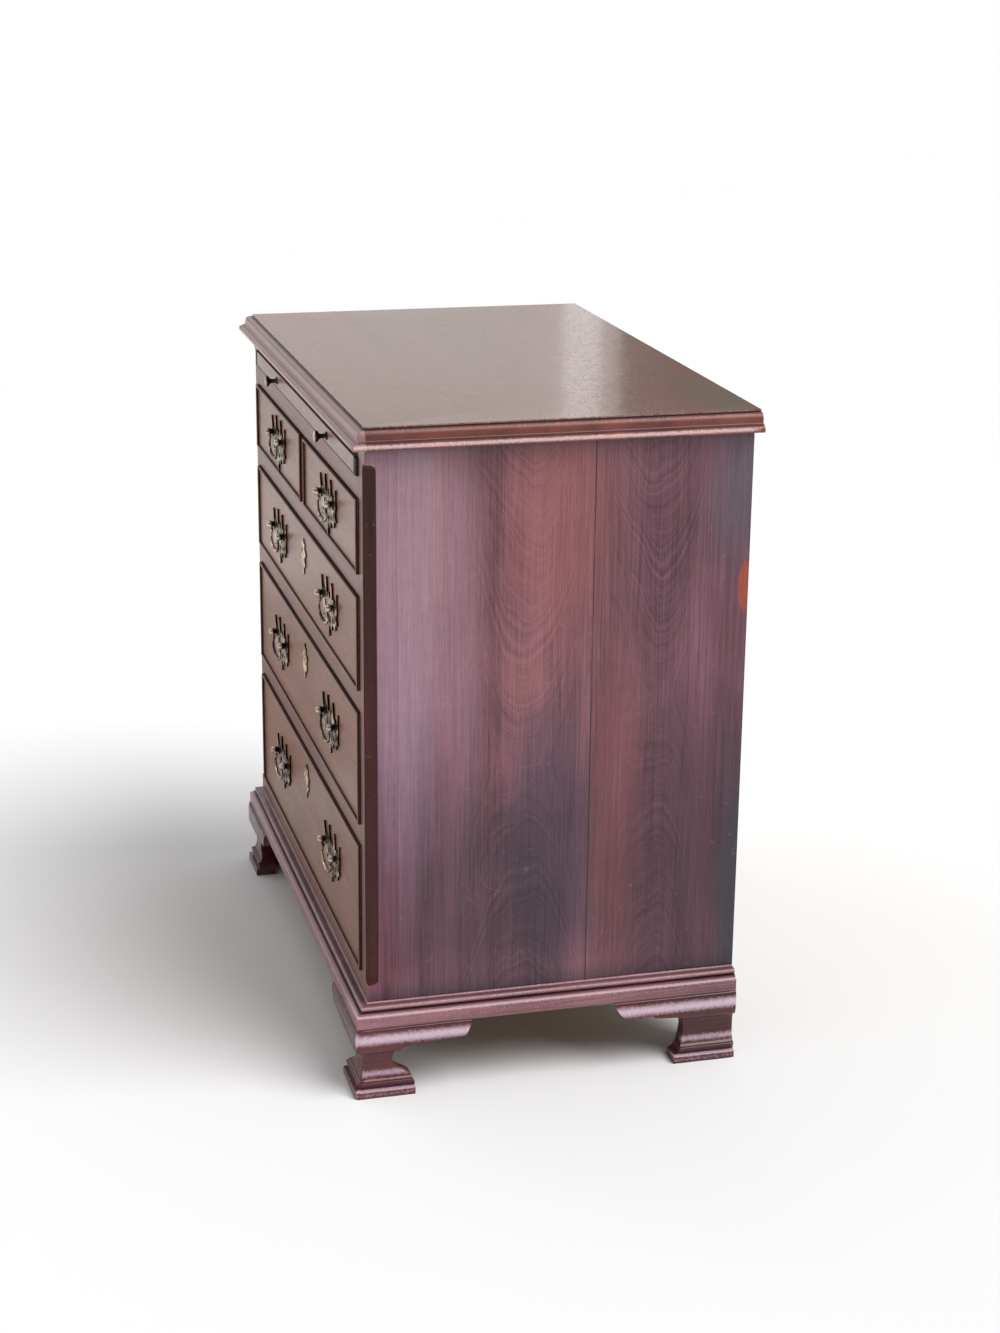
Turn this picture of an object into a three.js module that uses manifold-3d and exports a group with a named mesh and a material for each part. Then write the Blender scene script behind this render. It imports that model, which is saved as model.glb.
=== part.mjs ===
// Bachelors chest: a small mahogany chest of drawers with a moulded top, a brushing slide,
// two short and three long cockbeaded drawers, canted front corners and ogee bracket feet.
// Millimetres, +Z up. The front faces -Y and the chest stands on z = 0.
import * as THREE from 'three';
import { mergeVertices } from 'three/addons/utils/BufferGeometryUtils.js';
import Module from 'manifold-3d';

const wasm = await Module();
wasm.setup();

// Clearances shared by every joint
const fitGap = 0.3;
const cutOverrun = 5;
const weldDistance = 0.001;

// Case
const caseWidth = 734;
const caseDepth = 451;
const sideThickness = 22;
const postWidth = 32;
const postDepth = 36;
const cornerCant = 13;
const cantBottomStop = 20.5;
const cantTopStop = 19;
const cantStopRun = 9;
const railHeight = 25;
const topRailHeight = 17;
const bottomRailShow = 25.5;
const dustboardThickness = 12;
const bottomBoardThickness = 18;
const backThickness = 11;
const backRebateWidth = 10;
const backPlankCount = 4;
const plankJointWidth = 2;
const plankJointDepth = 1.5;
const bearerWidth = 24;
const guideHeight = 18;
const slideRunnerWidth = 30;

// Openings for the slide and the drawers, from the top down
const slideOpening = 22;
const shortOpening = 87.5;
const longOpenings = [112, 137.5, 159];
const dividerWidth = 20;

// Top board and the moulding worked along its front and sides
const topThickness = 24;
const topFrontOverhang = 17;
const topSideOverhang = 19;
const topBackOverhang = 5.5;
const topMouldingWidth = 16;
const quirkDepth = 2.6;
const quirkWidth = 1.4;
const ovoloWidth = 7.2;
const ovoloDepth = 9.4;
const hollowWidth = 2.8;
const hollowDepth = 3;
const filletDepth = 1.2;
const noseDepth = 4.4;
const noseReturn = 2.6;

// Base moulding, from the feet up
const fasciaHeight = 15.5;
const fasciaProjection = 16.5;
const filletProjection = 12.5;
const filletHeight = 3.2;
const torusProjection = 10;
const torusHeight = 6.4;
const baseMouldingHeight = 27.5;
const baseTopProjection = 2.6;

// Ogee bracket feet, from the floor up. The bulge stands out as far as the pad.
const footHeight = 88;
const footProjection = 20;
const footTopProjection = 17.5;
const footInnerFace = 8;
const padHeight = 9.5;
const toeRoot = 15;
const toeProjection = 17;
const toeLevel = 18;
const neckProjection = 9.5;
const neckLevels = [36, 48.5];
const shoulderProjection = 16;
const shoulderLevel = 56.5;
const bulgeLevels = [70, 79];
const frontScroll = {
  padEnd: 52.5, toeReach: 53, toeLevel: 32, sweepReach: 27, sweepLevel: 22, neckReach: 27, neckLevel: 45,
  bendReach: 29, bendLevel: 60, archReach: 46, archLevel: 63, cuspReach: 79, cuspLevel: 66.5,
  lobeLevel: 68.5, lobeReach: 111, tipReach: 121,
};
const rearScroll = {
  padEnd: 77, toeReach: 68, toeLevel: 12, sweepReach: 65, sweepLevel: 24, neckReach: 63.5, neckLevel: 42,
  bendReach: 63.5, bendLevel: 61, archReach: 74, archLevel: 61, cuspReach: 103, cuspLevel: 63.5,
  lobeLevel: 66.5, lobeReach: 136, tipReach: 155,
};
const backBracketReach = 92;
const backBracketThickness = 18;
const backBracketWaist = 40;
const frontFootBlock = 17;
const rearFootBlock = 38;
const footBlockLift = 2;

// Brushing slide
const slideThickness = 20;
const slideBackGap = 38;
const slideProud = 3;
const slideSideGap = 1;
const slideKnobSpacing = 336;
const slideKnobLength = 16;
const slideKnobRadius = 7;
const slideKnobStem = 2.6;
const slideKnobFoot = 5;
const slideKnobRim = 1.4;

// Drawers
const drawerBackGap = 39.5;
const drawerProud = 1;
const drawerSideGap = 1;
const drawerTopGap = 1.5;
const frontThickness = 20;
const linerThickness = 9;
const drawerBackThickness = 8;
const drawerBottomThickness = 7;
const drawerRunnerHeight = 7;
const drawerRunnerWidth = 12;
const drawerSideDrop = 2;
const bottomHousing = 6;
const glueOverlap = 2;
const beadThickness = 3.2;
const beadProud = 3.2;
const beadSetback = 7.5;
const tailPitch = 44;
const tailRoot = 16;
const tailTip = 23;
const frontLap = 8;
const stopHeight = 5;
const stopWidth = 40;
const stopDepth = 14;
const stopSpacing = 400;

// Swan-neck handles
const handleOffset = 168;
const postSpacing = 68;
const shortHandleRise = -4.5;
const longHandleRises = [-5, -4, 0.5];
const postRise = 10;
const plateWidth = 96;
const plateHeight = 70;
const plateThickness = 1.6;
const postReach = 7;
const postHeadRadius = 4.8;
const postNeckRadius = 2.8;
const postFlangeRadius = 7;
const postFlangeThickness = 1.6;
const postShankRadius = 2.4;
const nutRadius = 6.5;
const nutThickness = 3.5;
const pegRadius = 1.5;
const pegBore = 2;
const pegDepth = 5;
const bailRadius = 2.1;
const bailDrop = 26;
const bailSpread = 27;

// Locks and escutcheons
const escutcheonWidth = 30;
const escutcheonHeight = 46;
const escutcheonThickness = 1.4;
const escutcheonDrop = 42;
const escutcheonPinRadius = 0.9;
const escutcheonPinSpacing = 26;
const keyholeWidth = 3.8;
const keyholeHeight = 11;
const lockWidth = 58;
const lockHeight = 58;
const lockWall = 3;
const lockDepth = 9;
const boltWidth = 16;
const boltThickness = 4;
const boltLength = 22;
const boltMortiseDepth = 9;
const boltBack = 1.5;

// Facets of round work
const roundSides = 8;
const bailSides = 6;
const bailSteps = 22;
const curveSteps = 4;

// Colours of the woods and metals
const mahogany = { color: 0x5a3430, roughness: 0.35, metalness: 0 };
const drawerMahogany = { color: 0x6f5246, roughness: 0.35, metalness: 0 };
const oak = { color: 0xa9835a, roughness: 0.7, metalness: 0 };
const pine = { color: 0x9a7550, roughness: 0.8, metalness: 0 };
const brass = { color: 0x9a8048, roughness: 0.4, metalness: 1 };
const iron = { color: 0x4a4744, roughness: 0.6, metalness: 1 };

// Levels and faces worked out from the sizes above
const halfCase = caseWidth / 2;
const halfInside = halfCase - sideThickness;
const halfOpening = halfCase - postWidth;
const backFace = caseDepth - backThickness;
const mouldingTop = footHeight + baseMouldingHeight;
const bottomOpeningFloor = mouldingTop + bottomRailShow;
const longFloors = [];
let level = bottomOpeningFloor;
for (let i = longOpenings.length - 1; i >= 0; i -= 1) {
  longFloors[i] = level;
  level += longOpenings[i] + railHeight;
}
const shortFloor = level;
const slideRailFloor = shortFloor + shortOpening;
const slideFloor = slideRailFloor + railHeight;
const topRailFloor = slideFloor + slideOpening;
const caseTop = topRailFloor + topRailHeight;
const handleReach = drawerProud + plateThickness + postReach + postHeadRadius;
const frontReach = Math.max(footProjection, slideProud + slideKnobLength, handleReach);
const originShift = (frontReach - caseDepth - topBackOverhang) / 2;

// Solid helpers
function solidOf(geometry) {
  const plain = geometry.clone();
  plain.deleteAttribute('normal');
  plain.deleteAttribute('uv');
  const place = plain.attributes.position;
  const snapped = place.array.map((value) => Math.round(value / weldDistance) * weldDistance);
  plain.setAttribute('position', new THREE.Float32BufferAttribute(snapped, 3));
  const merged = mergeVertices(plain, weldDistance / 2);
  return new wasm.Manifold(new wasm.Mesh({
    numProp: 3,
    vertProperties: new Float32Array(merged.attributes.position.array),
    triVerts: new Uint32Array(merged.index.array),
  }));
}

function geometryOf(solid) {
  const mesh = solid.getMesh();
  const geometry = new THREE.BufferGeometry();
  const points = [];
  for (let i = 0; i < mesh.vertProperties.length; i += mesh.numProp) {
    points.push(mesh.vertProperties[i], mesh.vertProperties[i + 1], mesh.vertProperties[i + 2]);
  }
  geometry.setAttribute('position', new THREE.Float32BufferAttribute(points, 3));
  geometry.setIndex(Array.from(mesh.triVerts));
  return geometry;
}

function cut(body, tools) {
  return geometryOf(tools.reduce((solid, tool) => solid.subtract(solidOf(tool)), solidOf(body)));
}

function join(bodies) {
  return geometryOf(bodies.slice(1).reduce((solid, body) => solid.add(solidOf(body)), solidOf(bodies[0])));
}

// A board between two corners
function board([x0, x1], [y0, y1], [z0, z1]) {
  const box = new THREE.BoxGeometry(x1 - x0, y1 - y0, z1 - z0);
  return box.translate((x0 + x1) / 2, (y0 + y1) / 2, (z0 + z1) / 2);
}

// The same piece for the other side of the chest
function mirrored(geometry) {
  const twin = geometry.index ? geometry.toNonIndexed() : geometry.clone();
  const place = twin.attributes.position;
  const corner = new THREE.Vector3();
  const other = new THREE.Vector3();
  twin.scale(-1, 1, 1);
  for (let i = 0; i < place.count; i += 3) {
    corner.fromBufferAttribute(place, i + 1);
    other.fromBufferAttribute(place, i + 2);
    place.setXYZ(i + 1, ...other.toArray());
    place.setXYZ(i + 2, ...corner.toArray());
  }
  return twin;
}

function bothSides(geometry) {
  return [geometry, mirrored(geometry)];
}

function shapeOf(points) {
  return new THREE.Shape(points.map(([x, y]) => new THREE.Vector2(x, y)));
}

// An outline seen from the front, in x and z, between two y planes
function frontPlate(shape, [y0, y1]) {
  const plate = new THREE.ExtrudeGeometry(shape, {
    depth: y1 - y0, bevelEnabled: false, curveSegments: curveSteps,
  });
  return plate.rotateX(Math.PI / 2).translate(0, y1, 0);
}

// An outline seen from the side, in y and z, between two x planes
function sidePlate(shape, [x0, x1]) {
  const plate = new THREE.ExtrudeGeometry(shape, {
    depth: x1 - x0, bevelEnabled: false, curveSegments: curveSteps,
  });
  return plate.rotateX(Math.PI / 2).rotateZ(Math.PI / 2).translate(x0, 0, 0);
}

// Moulding run round corners. Its section lies in x, outward, and y, up. Each station holds the
// point where the section stands and its outward direction, which is longer at a mitre.
// Stations go round counterclockwise seen from above.
function moulding(section, stations, closed) {
  const outline = section.extractPoints(curveSteps).shape;
  const rings = stations.map(({ at, out }) => outline.map((point) => (
    [at[0] + out[0] * point.x, at[1] + out[1] * point.x, point.y]
  )));
  const corners = [];
  const runs = closed ? rings.length : rings.length - 1;
  for (let k = 0; k < runs; k += 1) {
    const here = rings[k];
    const next = rings[(k + 1) % rings.length];
    outline.forEach((_, i) => {
      const j = (i + 1) % outline.length;
      corners.push(here[i], next[i], next[j], here[i], next[j], here[j]);
    });
  }
  if (!closed) {
    const last = rings[rings.length - 1];
    THREE.ShapeUtils.triangulateShape(outline, []).forEach(([a, b, c]) => {
      corners.push(rings[0][a], rings[0][b], rings[0][c], last[c], last[b], last[a]);
    });
  }
  const geometry = new THREE.BufferGeometry();
  return geometry.setAttribute('position', new THREE.Float32BufferAttribute(corners.flat(), 3));
}

// A turned piece whose axis runs towards the front from y = 0
function turned(profile) {
  const points = profile.map(([radius, reach]) => new THREE.Vector2(radius, reach));
  return new THREE.LatheGeometry(points, roundSides).rotateX(Math.PI);
}

// A closed outline that is alike left and right, from shares of its half sizes
function evenOutline(shares, halfWidth, halfHeight) {
  const right = shares.map(([x, y]) => [x * halfWidth, y * halfHeight]);
  const left = right.filter(([x]) => x > 0).reverse().map(([x, y]) => [-x, y]);
  return shapeOf([...right, ...left]);
}

const chest = new THREE.Group();

function add(name, look, geometry) {
  const mesh = new THREE.Mesh(geometry, new THREE.MeshStandardMaterial(look));
  mesh.name = name;
  chest.add(mesh);
  return mesh;
}

// Corner posts: their front arris is canted, with a curved stop at each end of the cant
function cantCutter() {
  const depth = cornerCant * Math.SQRT1_2;
  const bottom = mouldingTop + cantBottomStop;
  const top = caseTop - cantTopStop;
  const outline = new THREE.Shape();
  outline.moveTo(cutOverrun, bottom);
  outline.lineTo(0, bottom);
  outline.bezierCurveTo(-depth, bottom, -depth, bottom + cantStopRun / 2, -depth, bottom + cantStopRun);
  outline.lineTo(-depth, top - cantStopRun);
  outline.bezierCurveTo(-depth, top - cantStopRun / 2, -depth, top, 0, top);
  outline.lineTo(cutOverrun, top);
  const halfWidth = cornerCant + cutOverrun;
  return frontPlate(outline, [-halfWidth, halfWidth]).rotateZ(-Math.PI / 4).translate(halfCase, 0, 0);
}

function cornerPost() {
  const stock = board([halfOpening, halfCase], [0, postDepth], [footHeight, caseTop]);
  return cut(stock, [cantCutter()]);
}

add('corner_post_right', mahogany, cornerPost());
add('corner_post_left', mahogany, mirrored(cornerPost()));

// Case sides, rebated for the back
function caseSide() {
  const rebate = halfInside + backRebateWidth;
  const side = new THREE.ExtrudeGeometry(shapeOf([
    [halfInside, postDepth], [halfCase, postDepth], [halfCase, caseDepth],
    [rebate, caseDepth], [rebate, backFace], [halfInside, backFace],
  ]), { depth: caseTop - footHeight, bevelEnabled: false });
  return side.translate(0, 0, footHeight);
}

add('side_right', mahogany, caseSide());
add('side_left', mahogany, mirrored(caseSide()));

// Drawer rails between the posts. Each has a mortise for the lock bolt below it,
// and two stops glued on top, behind the front of the drawer above.
const faceY = -drawerProud;
const frontBack = faceY + frontThickness;
const boltFront = frontBack - boltBack - boltThickness;
const railSpan = [-halfOpening, halfOpening];
const railDepth = [0, postDepth];
const insideDepth = [postDepth, backFace];

function stops(floor, spacing) {
  const middle = spacing / 2;
  return bothSides(board(
    [middle - stopWidth / 2, middle + stopWidth / 2],
    [frontBack + fitGap, frontBack + fitGap + stopDepth],
    [floor - glueOverlap, floor + stopHeight],
  ));
}

function drawerRail(drawerTop) {
  const floor = drawerTop + railHeight;
  const rail = join([board(railSpan, railDepth, [drawerTop, floor]), ...stops(floor, stopSpacing)]);
  const mortise = board(
    [-boltWidth / 2 - fitGap, boltWidth / 2 + fitGap],
    [boltFront - fitGap, boltFront + boltThickness + fitGap],
    [drawerTop - cutOverrun, drawerTop + boltMortiseDepth],
  );
  return cut(rail, [mortise]);
}

longFloors.forEach((floor, i) => {
  add(`drawer_rail_${i + 1}`, mahogany, drawerRail(floor + longOpenings[i]));
});

// Slide frame: the rails above and below the slide, the grooved runners that carry its ends,
// and the strip down the middle that keeps the short drawers from tipping
function slideFrame() {
  const inner = halfInside - slideRunnerWidth;
  const runner = frontPlate(shapeOf([
    [halfInside, slideRailFloor], [halfInside, caseTop], [inner, caseTop], [inner, topRailFloor],
    [halfOpening, topRailFloor], [halfOpening, slideFloor], [inner, slideFloor], [inner, slideRailFloor],
  ]), insideDepth);
  return join([
    board(railSpan, railDepth, [topRailFloor, caseTop]),
    board(railSpan, railDepth, [slideRailFloor, slideFloor]),
    board([-bearerWidth / 2, bearerWidth / 2], insideDepth, [slideRailFloor, slideFloor]),
    ...bothSides(runner),
  ]);
}

add('slide_frame', mahogany, slideFrame());

// The upright between the short drawers
const dividerSpan = [-dividerWidth / 2, dividerWidth / 2];
add('short_drawer_divider', mahogany, board(dividerSpan, railDepth, [shortFloor, slideRailFloor]));

// Dustboards and the bottom. Each is a board on side bearers, with side guides glued on top.
function boardWithGuides(top, thickness) {
  const bearerTop = top - thickness;
  const bearerBottom = bearerTop - railHeight + dustboardThickness;
  const bearerInner = halfInside - bearerWidth;
  const guideTop = top + guideHeight;
  const right = [
    [bearerInner, bearerTop], [bearerInner, bearerBottom], [halfInside, bearerBottom],
    [halfInside, guideTop], [halfOpening, guideTop], [halfOpening, top],
  ];
  const left = right.map(([x, z]) => [-x, z]).reverse();
  return frontPlate(shapeOf([...right, ...left]), insideDepth);
}

function topDustboard() {
  const guide = board(dividerSpan, insideDepth, [shortFloor - glueOverlap, shortFloor + guideHeight]);
  return join([boardWithGuides(shortFloor, dustboardThickness), guide]);
}

add('dustboard_1', oak, topDustboard());
add('dustboard_2', oak, boardWithGuides(longFloors[0], dustboardThickness));
add('dustboard_3', oak, boardWithGuides(longFloors[1], dustboardThickness));
add('bottom_board', oak, join([
  boardWithGuides(bottomOpeningFloor, bottomBoardThickness),
  board(railSpan, railDepth, [footHeight, bottomOpeningFloor]),
  ...stops(bottomOpeningFloor, stopSpacing),
]));

// Back: upright planks, joined edge to edge
function backBoards() {
  const halfBack = halfInside + backRebateWidth - fitGap;
  const pitch = 2 * halfBack / backPlankCount;
  const outline = [[-halfBack, backFace], [halfBack, backFace], [halfBack, caseDepth]];
  for (let i = backPlankCount - 1; i > 0; i -= 1) {
    const joint = i * pitch - halfBack;
    outline.push([joint + plankJointWidth / 2, caseDepth], [joint, caseDepth - plankJointDepth]);
    outline.push([joint - plankJointWidth / 2, caseDepth]);
  }
  outline.push([-halfBack, caseDepth]);
  const height = caseTop - footHeight;
  const back = new THREE.ExtrudeGeometry(shapeOf(outline), { depth: height, bevelEnabled: false });
  return back.translate(0, 0, footHeight);
}

add('back_boards', pine, backBoards());

// Top board. Its moulding is a quirk, an ovolo, a hollow, a fillet and a round nose,
// worked along the front and both ends.
function topMouldingWaste() {
  const quirkEnd = quirkWidth - topMouldingWidth;
  const ovoloEnd = quirkEnd + ovoloWidth;
  const hollowEnd = ovoloEnd + hollowWidth;
  const quirk = -quirkDepth;
  const ovolo = quirk - ovoloDepth;
  const hollow = ovolo - hollowDepth;
  const fillet = hollow - filletDepth;
  const outline = new THREE.Shape();
  outline.moveTo(-topMouldingWidth, cutOverrun);
  outline.lineTo(-topMouldingWidth, quirk);
  outline.lineTo(quirkEnd, quirk);
  outline.quadraticCurveTo(ovoloEnd, quirk, ovoloEnd, ovolo);
  outline.quadraticCurveTo(ovoloEnd, hollow, hollowEnd, hollow);
  outline.lineTo(hollowEnd, fillet);
  outline.quadraticCurveTo(0, fillet, 0, fillet - noseDepth);
  outline.quadraticCurveTo(0, -topThickness + noseReturn, -noseReturn, -topThickness);
  outline.lineTo(-noseReturn, -topThickness - cutOverrun);
  outline.lineTo(cutOverrun, -topThickness - cutOverrun);
  outline.lineTo(cutOverrun, cutOverrun);
  return outline;
}

function topBoard() {
  const total = caseTop + topThickness;
  const halfTop = halfCase + topSideOverhang;
  const slab = board([-halfTop, halfTop], [-topFrontOverhang, caseDepth + topBackOverhang], [caseTop, total]);
  const back = caseDepth + topBackOverhang + cutOverrun;
  const cutter = moulding(topMouldingWaste(), [
    { at: [-halfTop, back], out: [-1, 0] },
    { at: [-halfTop, -topFrontOverhang], out: [-1, -1] },
    { at: [halfTop, -topFrontOverhang], out: [1, -1] },
    { at: [halfTop, back], out: [1, 0] },
  ], false);
  return cut(slab, [cutter.translate(0, 0, total)]);
}

add('top_board', mahogany, topBoard());

// Base moulding: a flat fascia, a fillet, a torus and a small hollow, mitred at the front corners
function baseMouldingSection() {
  const filletTop = fasciaHeight + filletHeight;
  const torusTop = filletTop + torusHeight;
  const outline = new THREE.Shape();
  outline.moveTo(0, 0);
  outline.lineTo(fasciaProjection, 0);
  outline.lineTo(fasciaProjection, fasciaHeight);
  outline.lineTo(filletProjection, fasciaHeight);
  outline.lineTo(filletProjection, filletTop);
  const radius = torusHeight / 2;
  outline.lineTo(torusProjection - radius, filletTop);
  outline.absarc(torusProjection - radius, filletTop + radius, radius, -Math.PI / 2, Math.PI / 2, false);
  outline.lineTo(baseTopProjection, torusTop);
  outline.quadraticCurveTo(0, torusTop, 0, baseMouldingHeight);
  return outline;
}

function baseMoulding() {
  return moulding(baseMouldingSection(), [
    { at: [-halfCase, caseDepth], out: [-1, 0] },
    { at: [-halfCase, 0], out: [-1, -1] },
    { at: [halfCase, 0], out: [1, -1] },
    { at: [halfCase, caseDepth], out: [1, 0] },
  ], false).translate(0, 0, footHeight);
}

add('base_moulding', mahogany, baseMoulding());

// Ogee bracket feet: each bracket is a run of ogee moulding sawn to a scroll,
// mitred to its neighbour at the front and backed by a glue block
function ogeeSection() {
  const inner = -footInnerFace;
  const [neckLow, neckHigh] = neckLevels;
  const [bulgeLow, bulgeHigh] = bulgeLevels;
  const outline = new THREE.Shape();
  outline.moveTo(inner, 0);
  outline.lineTo(footProjection, 0);
  outline.lineTo(footProjection, padHeight);
  outline.lineTo(toeRoot, padHeight);
  outline.lineTo(toeProjection, toeLevel);
  outline.quadraticCurveTo(neckProjection, toeLevel, neckProjection, neckLow);
  outline.lineTo(neckProjection, neckHigh);
  outline.quadraticCurveTo(neckProjection, shoulderLevel, shoulderProjection, shoulderLevel);
  outline.quadraticCurveTo(footProjection, shoulderLevel, footProjection, bulgeLow);
  outline.lineTo(footProjection, bulgeHigh);
  outline.quadraticCurveTo(footProjection, footHeight, footTopProjection, footHeight);
  outline.lineTo(inner, footHeight);
  return outline;
}

// The waste sawn away to leave the scroll of a bracket, measured back from the corner
function scrollWaste(scroll) {
  const outline = new THREE.Shape();
  const toe = [scroll.toeReach, scroll.toeLevel];
  const sweep = [scroll.sweepReach, scroll.sweepLevel];
  const bend = [scroll.bendReach, scroll.bendLevel];
  const tipBend = (scroll.lobeReach + scroll.tipReach) / 2;
  outline.moveTo(scroll.padEnd, -cutOverrun);
  outline.lineTo(scroll.padEnd, padHeight);
  outline.bezierCurveTo(...toe, ...sweep, scroll.neckReach, scroll.neckLevel);
  outline.quadraticCurveTo(...bend, scroll.archReach, scroll.archLevel);
  outline.lineTo(scroll.cuspReach, scroll.cuspLevel);
  outline.lineTo(scroll.cuspReach, scroll.lobeLevel);
  outline.lineTo(scroll.lobeReach, scroll.lobeLevel);
  outline.quadraticCurveTo(tipBend, scroll.lobeLevel, scroll.tipReach, footHeight);
  outline.lineTo(scroll.tipReach, footHeight + cutOverrun);
  outline.lineTo(scroll.tipReach + 2 * cutOverrun, footHeight + cutOverrun);
  outline.lineTo(scroll.tipReach + 2 * cutOverrun, -cutOverrun);
  return sidePlate(outline, [-footInnerFace - cutOverrun, footProjection + cutOverrun]);
}

// The block glued in the angle of a foot, just short of the floor
function glueBlock(size, [x0, y0]) {
  const lap = footInnerFace / 2;
  return board([x0 - size, x0 + lap], [y0 - lap, y0 + size], [footBlockLift, footHeight]);
}

function frontFoot() {
  const end = frontScroll.tipReach + cutOverrun;
  const corner = moulding(ogeeSection(), [
    { at: [-end, 0], out: [0, -1] }, { at: [0, 0], out: [1, -1] }, { at: [0, end], out: [1, 0] },
  ], false);
  const sideWaste = scrollWaste(frontScroll);
  const frontWaste = mirrored(sideWaste).rotateZ(Math.PI / 2);
  const block = glueBlock(frontFootBlock, [-footInnerFace, footInnerFace]);
  return join([cut(corner, [sideWaste, frontWaste]), block]).translate(halfCase, 0, 0);
}

// A rear foot has its ogee bracket on the side only, and a plain sawn bracket across the back
function backBracket() {
  const reach = backBracketReach;
  const outline = new THREE.Shape();
  outline.moveTo(-footInnerFace / 2, 0);
  outline.lineTo(-backBracketWaist, 0);
  outline.quadraticCurveTo(-backBracketWaist, footHeight / 2, -reach, footHeight - backBracketThickness);
  outline.lineTo(-reach, footHeight);
  outline.lineTo(-footInnerFace / 2, footHeight);
  return frontPlate(outline, [-backBracketThickness, 0]);
}

function rearFoot() {
  const end = rearScroll.tipReach + cutOverrun;
  const run = moulding(ogeeSection(), [{ at: [0, -end], out: [1, 0] }, { at: [0, 0], out: [1, 0] }], false);
  const waste = mirrored(scrollWaste(rearScroll)).rotateZ(Math.PI);
  const blockFront = -backBracketThickness - rearFootBlock + glueOverlap;
  const block = glueBlock(rearFootBlock, [-footInnerFace, blockFront]);
  return join([cut(run, [waste]), backBracket(), block]).translate(halfCase, caseDepth, 0);
}

add('front_right_foot', mahogany, frontFoot());
add('front_left_foot', mahogany, mirrored(frontFoot()));
add('rear_right_foot', mahogany, rearFoot());
add('rear_left_foot', mahogany, mirrored(rearFoot()));

// Brushing slide: a thin board with two turned brass knobs
function slideKnob() {
  const neck = slideKnobFoot - slideKnobStem + slideKnobRim;
  return turned([
    [0, 0], [slideKnobFoot, 0], [slideKnobFoot, slideKnobRim], [slideKnobStem, neck],
    [slideKnobStem, slideKnobLength - slideKnobRadius], [slideKnobRadius, slideKnobLength - 2 * slideKnobRim],
    [slideKnobRadius, slideKnobLength - slideKnobRim], [slideKnobFoot, slideKnobLength], [0, slideKnobLength],
  ]);
}

const slideMiddle = slideFloor + fitGap + slideThickness / 2;
const halfSlide = halfOpening - slideSideGap;
add('slide_board', mahogany, board(
  [-halfSlide, halfSlide],
  [-slideProud, backFace - slideBackGap],
  [slideFloor + fitGap, slideFloor + fitGap + slideThickness],
));
const rightKnob = slideKnob().translate(slideKnobSpacing / 2, -slideProud, slideMiddle);
add('slide_knob_right', brass, rightKnob);
add('slide_knob_left', brass, mirrored(rightKnob));

// Swan-neck handles. Shares run out from the middle of the plate.
const plateShares = [
  [0, -1], [0.08, -0.84], [0.05, -0.7], [0.18, -0.58], [0.34, -0.66], [0.44, -0.46], [0.6, -0.42],
  [0.76, -0.5], [0.86, -0.3], [1, -0.26], [0.93, -0.02], [1, 0.24], [0.97, 0.8], [0.84, 0.44],
  [0.7, 0.33], [0.56, 0.5], [0.44, 0.46], [0.4, 0.66], [0.33, 1], [0.25, 0.64], [0.13, 0.44], [0, 0.56],
];
const piercingShares = [
  { x: 0.33, z: 0.06, width: 0.13, height: 0.2 },
  { x: 0.22, z: -0.36, width: 0.11, height: 0.12 },
];
const bailShares = [
  [0, -1], [0.42, -0.95], [0.8, -0.77], [0.97, -0.48], [0.82, -0.2], [0.85, -0.03],
];

function handlePlate() {
  const halfWidth = plateWidth / 2;
  const halfHeight = plateHeight / 2;
  const outline = evenOutline(plateShares, halfWidth, halfHeight);
  [-1, 1].forEach((side) => {
    piercingShares.forEach(({ x, z, width, height }) => {
      const middle = [side * x * halfWidth, z * halfHeight];
      const radii = [width * halfWidth, height * halfHeight];
      outline.holes.push(new THREE.Path().absellipse(...middle, ...radii, 0, 2 * Math.PI, false, 0));
    });
  });
  return frontPlate(outline, [-plateThickness, 0]);
}

// A post with its round head, bored for the bail's peg, and its nut behind the drawer front
function handlePost() {
  const neck = plateThickness + postFlangeThickness;
  const middle = plateThickness + postReach;
  const slope = postHeadRadius * Math.SQRT1_2;
  const nutFront = -frontThickness - fitGap;
  const nutBack = nutFront - nutThickness;
  const post = turned([
    [0, nutBack], [nutRadius, nutBack], [nutRadius, nutFront], [postShankRadius, nutFront],
    [postShankRadius, 0], [postShankRadius + fitGap, plateThickness / 2],
    [postFlangeRadius, plateThickness], [postNeckRadius, neck], [postNeckRadius, middle - slope - fitGap],
    [slope, middle - slope], [postHeadRadius, middle], [slope, middle + slope], [0, middle + postHeadRadius],
  ]);
  const boreLength = pegDepth + 2 * fitGap + cutOverrun;
  const boreMiddle = pegDepth + 2 * fitGap - boreLength / 2 - postHeadRadius;
  const bore = new THREE.CylinderGeometry(pegBore, pegBore, boreLength, roundSides).rotateZ(Math.PI / 2);
  return cut(post, [bore.translate(boreMiddle, -middle, 0)]).translate(postSpacing / 2, 0, postRise);
}

const handleBacking = join([handlePlate(), ...bothSides(handlePost())]);

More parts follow.
